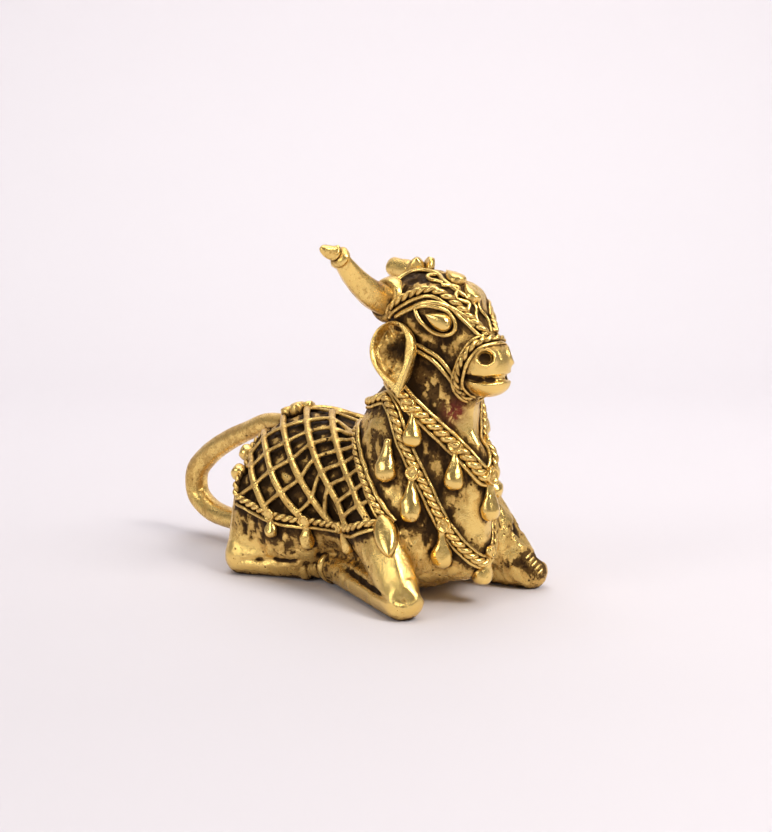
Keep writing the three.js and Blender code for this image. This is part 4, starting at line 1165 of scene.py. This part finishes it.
def disc(place, radius=1.9):
    """A disc that faces straight out from the skin."""
    middle = settle(place)[0]
    up = slope(middle[None])[0]
    DISCS.append((middle + up * DISC_LIFT, up, at(0.3, 0.2, 1.0), at(radius, radius, 0.85 * radius)))
    ORNAMENT_POINTS.append(middle[None])


def drop(top, length, radius):
    """A drop that hangs from its top and lies on the skin down to its round end."""
    high = settle(top, 0.5)[0]
    low = settle(top - at(0, 0, length), 0.45 * radius)[0]
    out = slope(((high + low) / 2)[None])[0]
    axis = high - low
    size = at(0.85 * radius, radius, np.linalg.norm(axis) + 0.45 * radius)
    DROPS.append((high + 0.04 * axis, axis, out, size))
    ORNAMENT_POINTS.append(settle(np.linspace(high, low, 6)))


def pressed_on(name, shape, spots, seed):
    """The same shape pressed on at every spot, as one piece."""
    places, axes, outward, sizes = (np.array(values) for values in zip(*spots))
    pattern = placed(name + "_shape", smooth_mesh(name + "_shape", *shape))
    source = bpy.data.meshes.new(name + "_points")
    source.from_pydata(in_scene(places).tolist(), [], [])
    for key, values in (("axis", axes), ("outward", outward), ("size", sizes * scale)):
        set_field(source, key, values)
    piece = grown(name, source, PRESSED, {
        "Shape": pattern, "Unevenness": 0.08, "Dents": 1.1 * scale, "Seed": seed, "Material": drop_brass,
    })
    bpy.data.objects.remove(pattern)
    finish_piece(piece, heights=(-0.3, 0.45))


for s in (-1, 1):
    disc(at(23.2, 12 * s, 53))
    drop(at(24.2, 12 * s, 51.5), 8.5, 2.5)
    disc(at(33.1, 5.6 * s, 42.4))
    drop(at(33.3, 5.7 * s, 41), 8.6, 2.6)
    drop(at(19, 15.4 * s, 43.5), 10, 3)
    disc(at(25.2, 13.4 * s, 35.5))
    drop(at(25.2, 13.6 * s, 34.5), 10.2, 2.8)
    disc(at(32.3, 8.9 * s, 22.4))
    drop(at(32, 9.2 * s, 21), 8.8, 2.8)
    for x, length, radius in ((-18.5, 5.5, 1.9), (-8, 7.5, 2.2), (7, 7.5, 2.2)):
        cloth_edge = flank(x, low_edge(x), s)
        disc(cloth_edge, 1.6)
        drop(cloth_edge, length, radius)
disc(at(39, 1, 34.8), 2.4)
drop(at(39, 1, 33), 9.2, 2.8)
disc(at(38, 1.5, 14.6), 1.7)
drop(at(38, 1.5, 14.2), 9.6, 3.2)
PRESSED = pressing_tree()
pressed_on("drops", drop_shape(), DROPS, 3)
pressed_on("discs", turned(rounded(DISC_PROFILE, 3), at(0, 0, 0), at(0, 0, 1), 22), DISCS, 4)


# The eyes: a leaf of wax for each ball, pointed at its back corner, inside a rim of rolled thread that
# is laid round it as a longer leaf. Both are pressed on the head and cast with it.
EYE_WIDTH = 4.7
EYE_RIM_WIDTH = 6.9


def flat_leaf(base, tip, width, height, up, sharpness=0.8, dome=0.5, back=1.5):
    """A leaf of wax sheet with a domed face, pointed at its tip."""
    along = tip - base
    up = up - along * (up @ along) / (along @ along)
    up = up / np.linalg.norm(up)
    across = np.cross(up, along / np.linalg.norm(along))
    v = np.linspace(-1, 1, 15)
    rings = []
    for u in (1 - np.cos(np.linspace(0.15, math.pi - 0.15, 18))) / 2:
        half = leaf_width(np.array([1 - u]), width, sharpness)[0]
        crown = height * (1 - v**6) + dome * (1 - v**2) * min(1.0, 2 * half / width)
        centre = base + along * u
        top = centre + (v * half)[:, None] * across + crown[:, None] * up
        bottom = centre + (v * half)[:, None] * across - back * up
        rings.append(np.vstack([top, bottom[::-1]]))
    return loft(rings)


def skin_leaf(base, tip, width, height, **shape):
    """A leaf laid flat on the skin, over the middle of two places near it."""
    middle = settle((base + tip) / 2)[0]
    moved = middle - (base + tip) / 2
    return flat_leaf(base + moved, tip + moved, width, height, slope(middle[None])[0], **shape)


eyes, rims = [], []
for s in (-1, 1):
    back_corner, front_corner = at(24.2, 12 * s, 78.6), at(33.8, 6.8 * s, 73.2)
    eyeball = [back_corner * (1 - t) + front_corner * t for t in (0.3, 0.9)]
    eyes.append(skin_leaf(eyeball[1], eyeball[0], EYE_WIDTH, 0.9, sharpness=0.8, dome=1.0, back=2.5))
    middle = settle((back_corner + front_corner) / 2)[0]
    up = slope(middle[None])[0]
    along = front_corner - back_corner
    across = np.cross(up, along / np.linalg.norm(along))
    u = (1 - np.cos(np.linspace(0, math.pi, 19))) / 2
    half = leaf_width(u, EYE_RIM_WIDTH, 0.9)
    one = middle + (u - 0.5)[:, None] * along + half[:, None] * across
    two = middle + (u - 0.5)[:, None] * along - half[:, None] * across
    rims.append(lay(np.vstack([one, two[-2:0:-1]]), 0.4, closed=True, thick=1.15))
finish_piece(mesh_object("eyes", *joined(eyes)), drop_brass, (0.0, 0.5))
threads("eye_rims", rims)


# The crest on the poll: two leaves of wax sheet down the forehead, two more that stand up behind them, a
# small one beside each and a round peg at the back, all stuck on hot and cast with the head
POLL_PEG = [(1.7, -5.5), (2.4, -3.4), (2.5, 0), (2.4, 4), (0, 4)]
crest = [
    skin_leaf(at(30.4, 0, 84), at(24, 0, 86), 5.4, 1.2),
    skin_leaf(at(35.2, 0, 79.4), at(30.2, 0, 83), 4.8, 1.2),
    turned(rounded(POLL_PEG), at(8.6, 0, 87), at(-1, 0, 0.06), uneven=0.03),
]
for s in (-1, 1):
    crest.append(flat_leaf(at(14.6 + s, 0.6 * s, 83.2), at(16.6 + 1.6 * s, 1.2 * s, 90.2), 5.6, 0.6,
                           at(0.6, s, 0), sharpness=0.3, dome=0.9, back=0.9))
    crest.append(flat_leaf(at(13.6, 5 * s, 80.5), at(11.6, 8.2 * s, 85.2), 5.4, 0.5,
                           at(0.4, s, 0.5), sharpness=0.5, dome=0.5, back=1.6))
finish_piece(mesh_object("crest", *joined(crest)), thread_brass, (0.1, 0.7))


# The rosette on the rump: small leaves of wax sheet round a button, pressed on where the tail starts and
# cast with the body
PETALS = 6
BUTTON = [(2.4, -1), (2.6, 1.4), (2.2, 2.5), (1.2, 2.9), (0, 2.95)]
middle = settle(at(-34, 0, 46))[0]
up = slope(middle[None])[0]
u = at(1, 0, 0) - up * up[0]
u /= np.linalg.norm(u)
v = np.cross(up, u)
rosette = []
for petal in range(PETALS):
    turn = 2 * math.pi * petal / PETALS + 0.2
    out = u * math.cos(turn) + v * math.sin(turn)
    rosette.append(flat_leaf(middle + out * 5.4, middle + out * 0.4, 4.6, 1.6, up,
                             sharpness=0.4, dome=0.7, back=1.5))
rosette.append(turned(rounded(BUTTON), middle, up, uneven=0.04))
finish_piece(mesh_object("rosette", *joined(rosette)), thread_brass, (0.3, 1.3))


# The knobs behind the cloth's rear border, the long tassel down each shoulder and the bands at the
# hoofs: buttons, a leaf and rings of wax, pressed on the body and its legs and cast with them
HOOF_RING = [(4.4, -1.3), (5.0, -0.9), (5.2, 0), (5.0, 0.9), (4.4, 1.3)]
HOOF = [(3.8, 0), (3.9, 1.5), (3.6, 3), (2.2, 3.9), (0, 4)]
KNOB = [(2.0, -1), (2.3, 0.3), (2.4, 1.8), (1.6, 3.1), (0, 3.4)]
TASSELS = {-1: (at(20.6, -19.6, 24.4), at(27.6, -23.8, 15.4)), 1: (at(14, 19.5, 25), at(17, 23.4, 16))}
FOOT_CLEARANCE = 0.05  # of the lowest ones above the table, where they're rubbed flat
bands = []
for s in (-1, 1):
    bands.append(skin_leaf(*TASSELS[s], 6.6, 1.3, sharpness=0.35, dome=0.9, back=2.5))
    hind_way = at(18.5, -8 * s, -0.6)
    bands.append(turned(rounded(HOOF_RING), at(-15, 13 * s, 4.8), hind_way, 26, 0.02, 1))
    bands.append(turned(rounded(HOOF), at(-14, 12.6 * s, 4.4), hind_way, 20, 0.03, 2))
    bands.append(turned(rounded(HOOF_RING), at(-6, 11.6 * s, 5.2), at(-39, -12 * s, 0.5), 26, 0.02, 3))
    for angle in (50, 74):
        foot = flank(rear_edge(angle) - 1.2, angle, s)
        bands.append(turned(rounded(KNOB), foot, slope(foot[None])[0], 16, 0.06, angle))
band_points, band_faces = joined(bands)
band_points[:, 2] = np.maximum(band_points[:, 2], FOOT_CLEARANCE)
finish_piece(mesh_object("knobs_and_bands", band_points, band_faces), drop_brass, (0.0, 0.8))


# Soot and old wax stay on the skin beside every thread and drop, where a cloth can't reach. This adds to
# what the body's mesh already has.
touching = np.vstack(ORNAMENT_POINTS)
nearest = KDTree(len(touching))
for n, point in enumerate(touching):
    nearest.insert(point, n)
nearest.balance()
beside = np.array([nearest.find(point)[2] for point in skin_points])
sooty += 1.1 * np.exp(-(((beside - 1.0) / 1.5) ** 2))
set_field(skin.data, "soot", sooty)


# The table and the wall behind it: one plain pale sheet of paper, which lies under the bull and curves
# up behind it. Its sizes are in metres, from the middle of the figure.
SHEET_FRONT = -2.0
SHEET_BEND = 0.36  # where it starts to curve up
SHEET_RADIUS = 0.25
SHEET_TOP = 2.5
SHEET_HALF_WIDTH = 3.0


def pale(name, colour, roughness):
    """A plain dull surface."""
    material = bpy.data.materials.new(name)
    material.use_nodes = True
    shader = material.node_tree.nodes["Principled BSDF"]
    shader.inputs["Base Color"].default_value = (*colour, 1)
    shader.inputs["Roughness"].default_value = roughness
    return material


# The camera's own directions
ANGLE = math.radians(45)  # round the bull, from its right side
PITCH = math.radians(9)
RIGHT = Vector((math.cos(ANGLE), math.sin(ANGLE), 0))
LEVEL = Vector((-math.sin(ANGLE), math.cos(ANGLE), 0))
FORWARD = LEVEL * math.cos(PITCH) - Vector((0, 0, math.sin(PITCH)))
UP = RIGHT.cross(FORWARD)
sheet_profile = [(SHEET_FRONT, 0.0), (SHEET_BEND, 0.0)]
for turn in np.linspace(0.15, math.pi / 2, 10):
    sheet_profile.append((SHEET_BEND + SHEET_RADIUS * math.sin(turn), SHEET_RADIUS * (1 - math.cos(turn))))
sheet_profile.append((SHEET_BEND + SHEET_RADIUS, SHEET_TOP))
sheet_points = [RIGHT * side + LEVEL * out + Vector((0, 0, z))
                for out, z in sheet_profile for side in (-SHEET_HALF_WIDTH, SHEET_HALF_WIDTH)]
sheet_faces = [(2 * i, 2 * i + 1, 2 * i + 3, 2 * i + 2) for i in range(len(sheet_profile) - 1)]
floor = placed("pale_floor", smooth_mesh("pale_floor", sheet_points, sheet_faces))
floor.data.materials.append(pale("paper", (0.64, 0.605, 0.63), 0.7))

# Soft studio light: a key from the front right, a weak fill from the left, a broad box overhead and a
# light on the wall. The rest of the room is dim, so that the metal has something dark to mirror.
AIM = Vector(in_scene(at(-26.5, 28.8, 40)))  # the place that the camera and the lights point to


def light(name, side, out, height, size, power, colour=(1, 1, 1), aim=AIM):
    """A soft box, placed to the right of the figure, towards the camera and above the table."""
    lamp = bpy.data.lights.new(name, "AREA")
    lamp.shape = "RECTANGLE"
    lamp.size, lamp.size_y = size
    lamp.energy = power
    lamp.color = colour
    box = placed(name, lamp)
    box.location = RIGHT * side - LEVEL * out + Vector((0, 0, height))
    box.rotation_mode = "QUATERNION"
    box.rotation_quaternion = (aim - box.location).to_track_quat("-Z", "Y")


light("key_light", 0.42, 0.35, 0.55, (0.25, 0.25), 4.1, (1.0, 0.97, 0.93))
light("fill_light", -0.55, 0.45, 0.4, (0.3, 0.3), 1.4, (1.0, 0.98, 0.96))
light("overhead_light", 0.0, -0.1, 1.1, (0.9, 0.9), 6.6)
light("wall_light", 0.0, -0.12, 0.55, (1.6, 0.15), 3.0, aim=LEVEL * 0.7 + Vector((0, 0, 0.3)))

# The room: bright towards the horizon and dim overhead
HORIZON = 0.55
ZENITH = 0.17
world = bpy.data.worlds.new("studio")
world.use_nodes = True
add = node_adder(world.node_tree)
way = add("ShaderNodeTexCoord").outputs["Generated"]
height = add("ShaderNodeSeparateXYZ", {0: way}).outputs["Z"]
fade = add("ShaderNodeMapRange", {
    "Value": height, "From Min": 0.0, "From Max": 0.5, "To Min": HORIZON, "To Max": ZENITH,
}, interpolation_type="SMOOTHSTEP").outputs["Result"]
sky = world.node_tree.nodes["Background"]
sky.inputs["Color"].default_value = (1.0, 0.96, 0.98, 1)
world.node_tree.links.new(fade, sky.inputs["Strength"])
bpy.context.scene.world = world
bpy.context.scene.view_settings.view_transform = "Standard"

# The camera, with a long lens from near the height of the head
DISTANCE = 480  # from the aim, in mm
PICTURE_HEIGHT = 832  # in pixels
FOCUS = 1608  # in the same pixels
SENSOR_HEIGHT = 24
camera_data = bpy.data.cameras.new("camera")
camera_data.sensor_fit = "VERTICAL"
camera_data.sensor_height = SENSOR_HEIGHT
camera_data.lens = FOCUS * SENSOR_HEIGHT / PICTURE_HEIGHT
camera_data.clip_start = 0.01
camera_data.clip_end = 20
camera = placed("camera", camera_data)
basis = Matrix((RIGHT, UP, -FORWARD)).transposed().to_4x4()
camera.matrix_world = Matrix.Translation(AIM - FORWARD * DISTANCE * scale) @ basis
bpy.context.scene.camera = camera
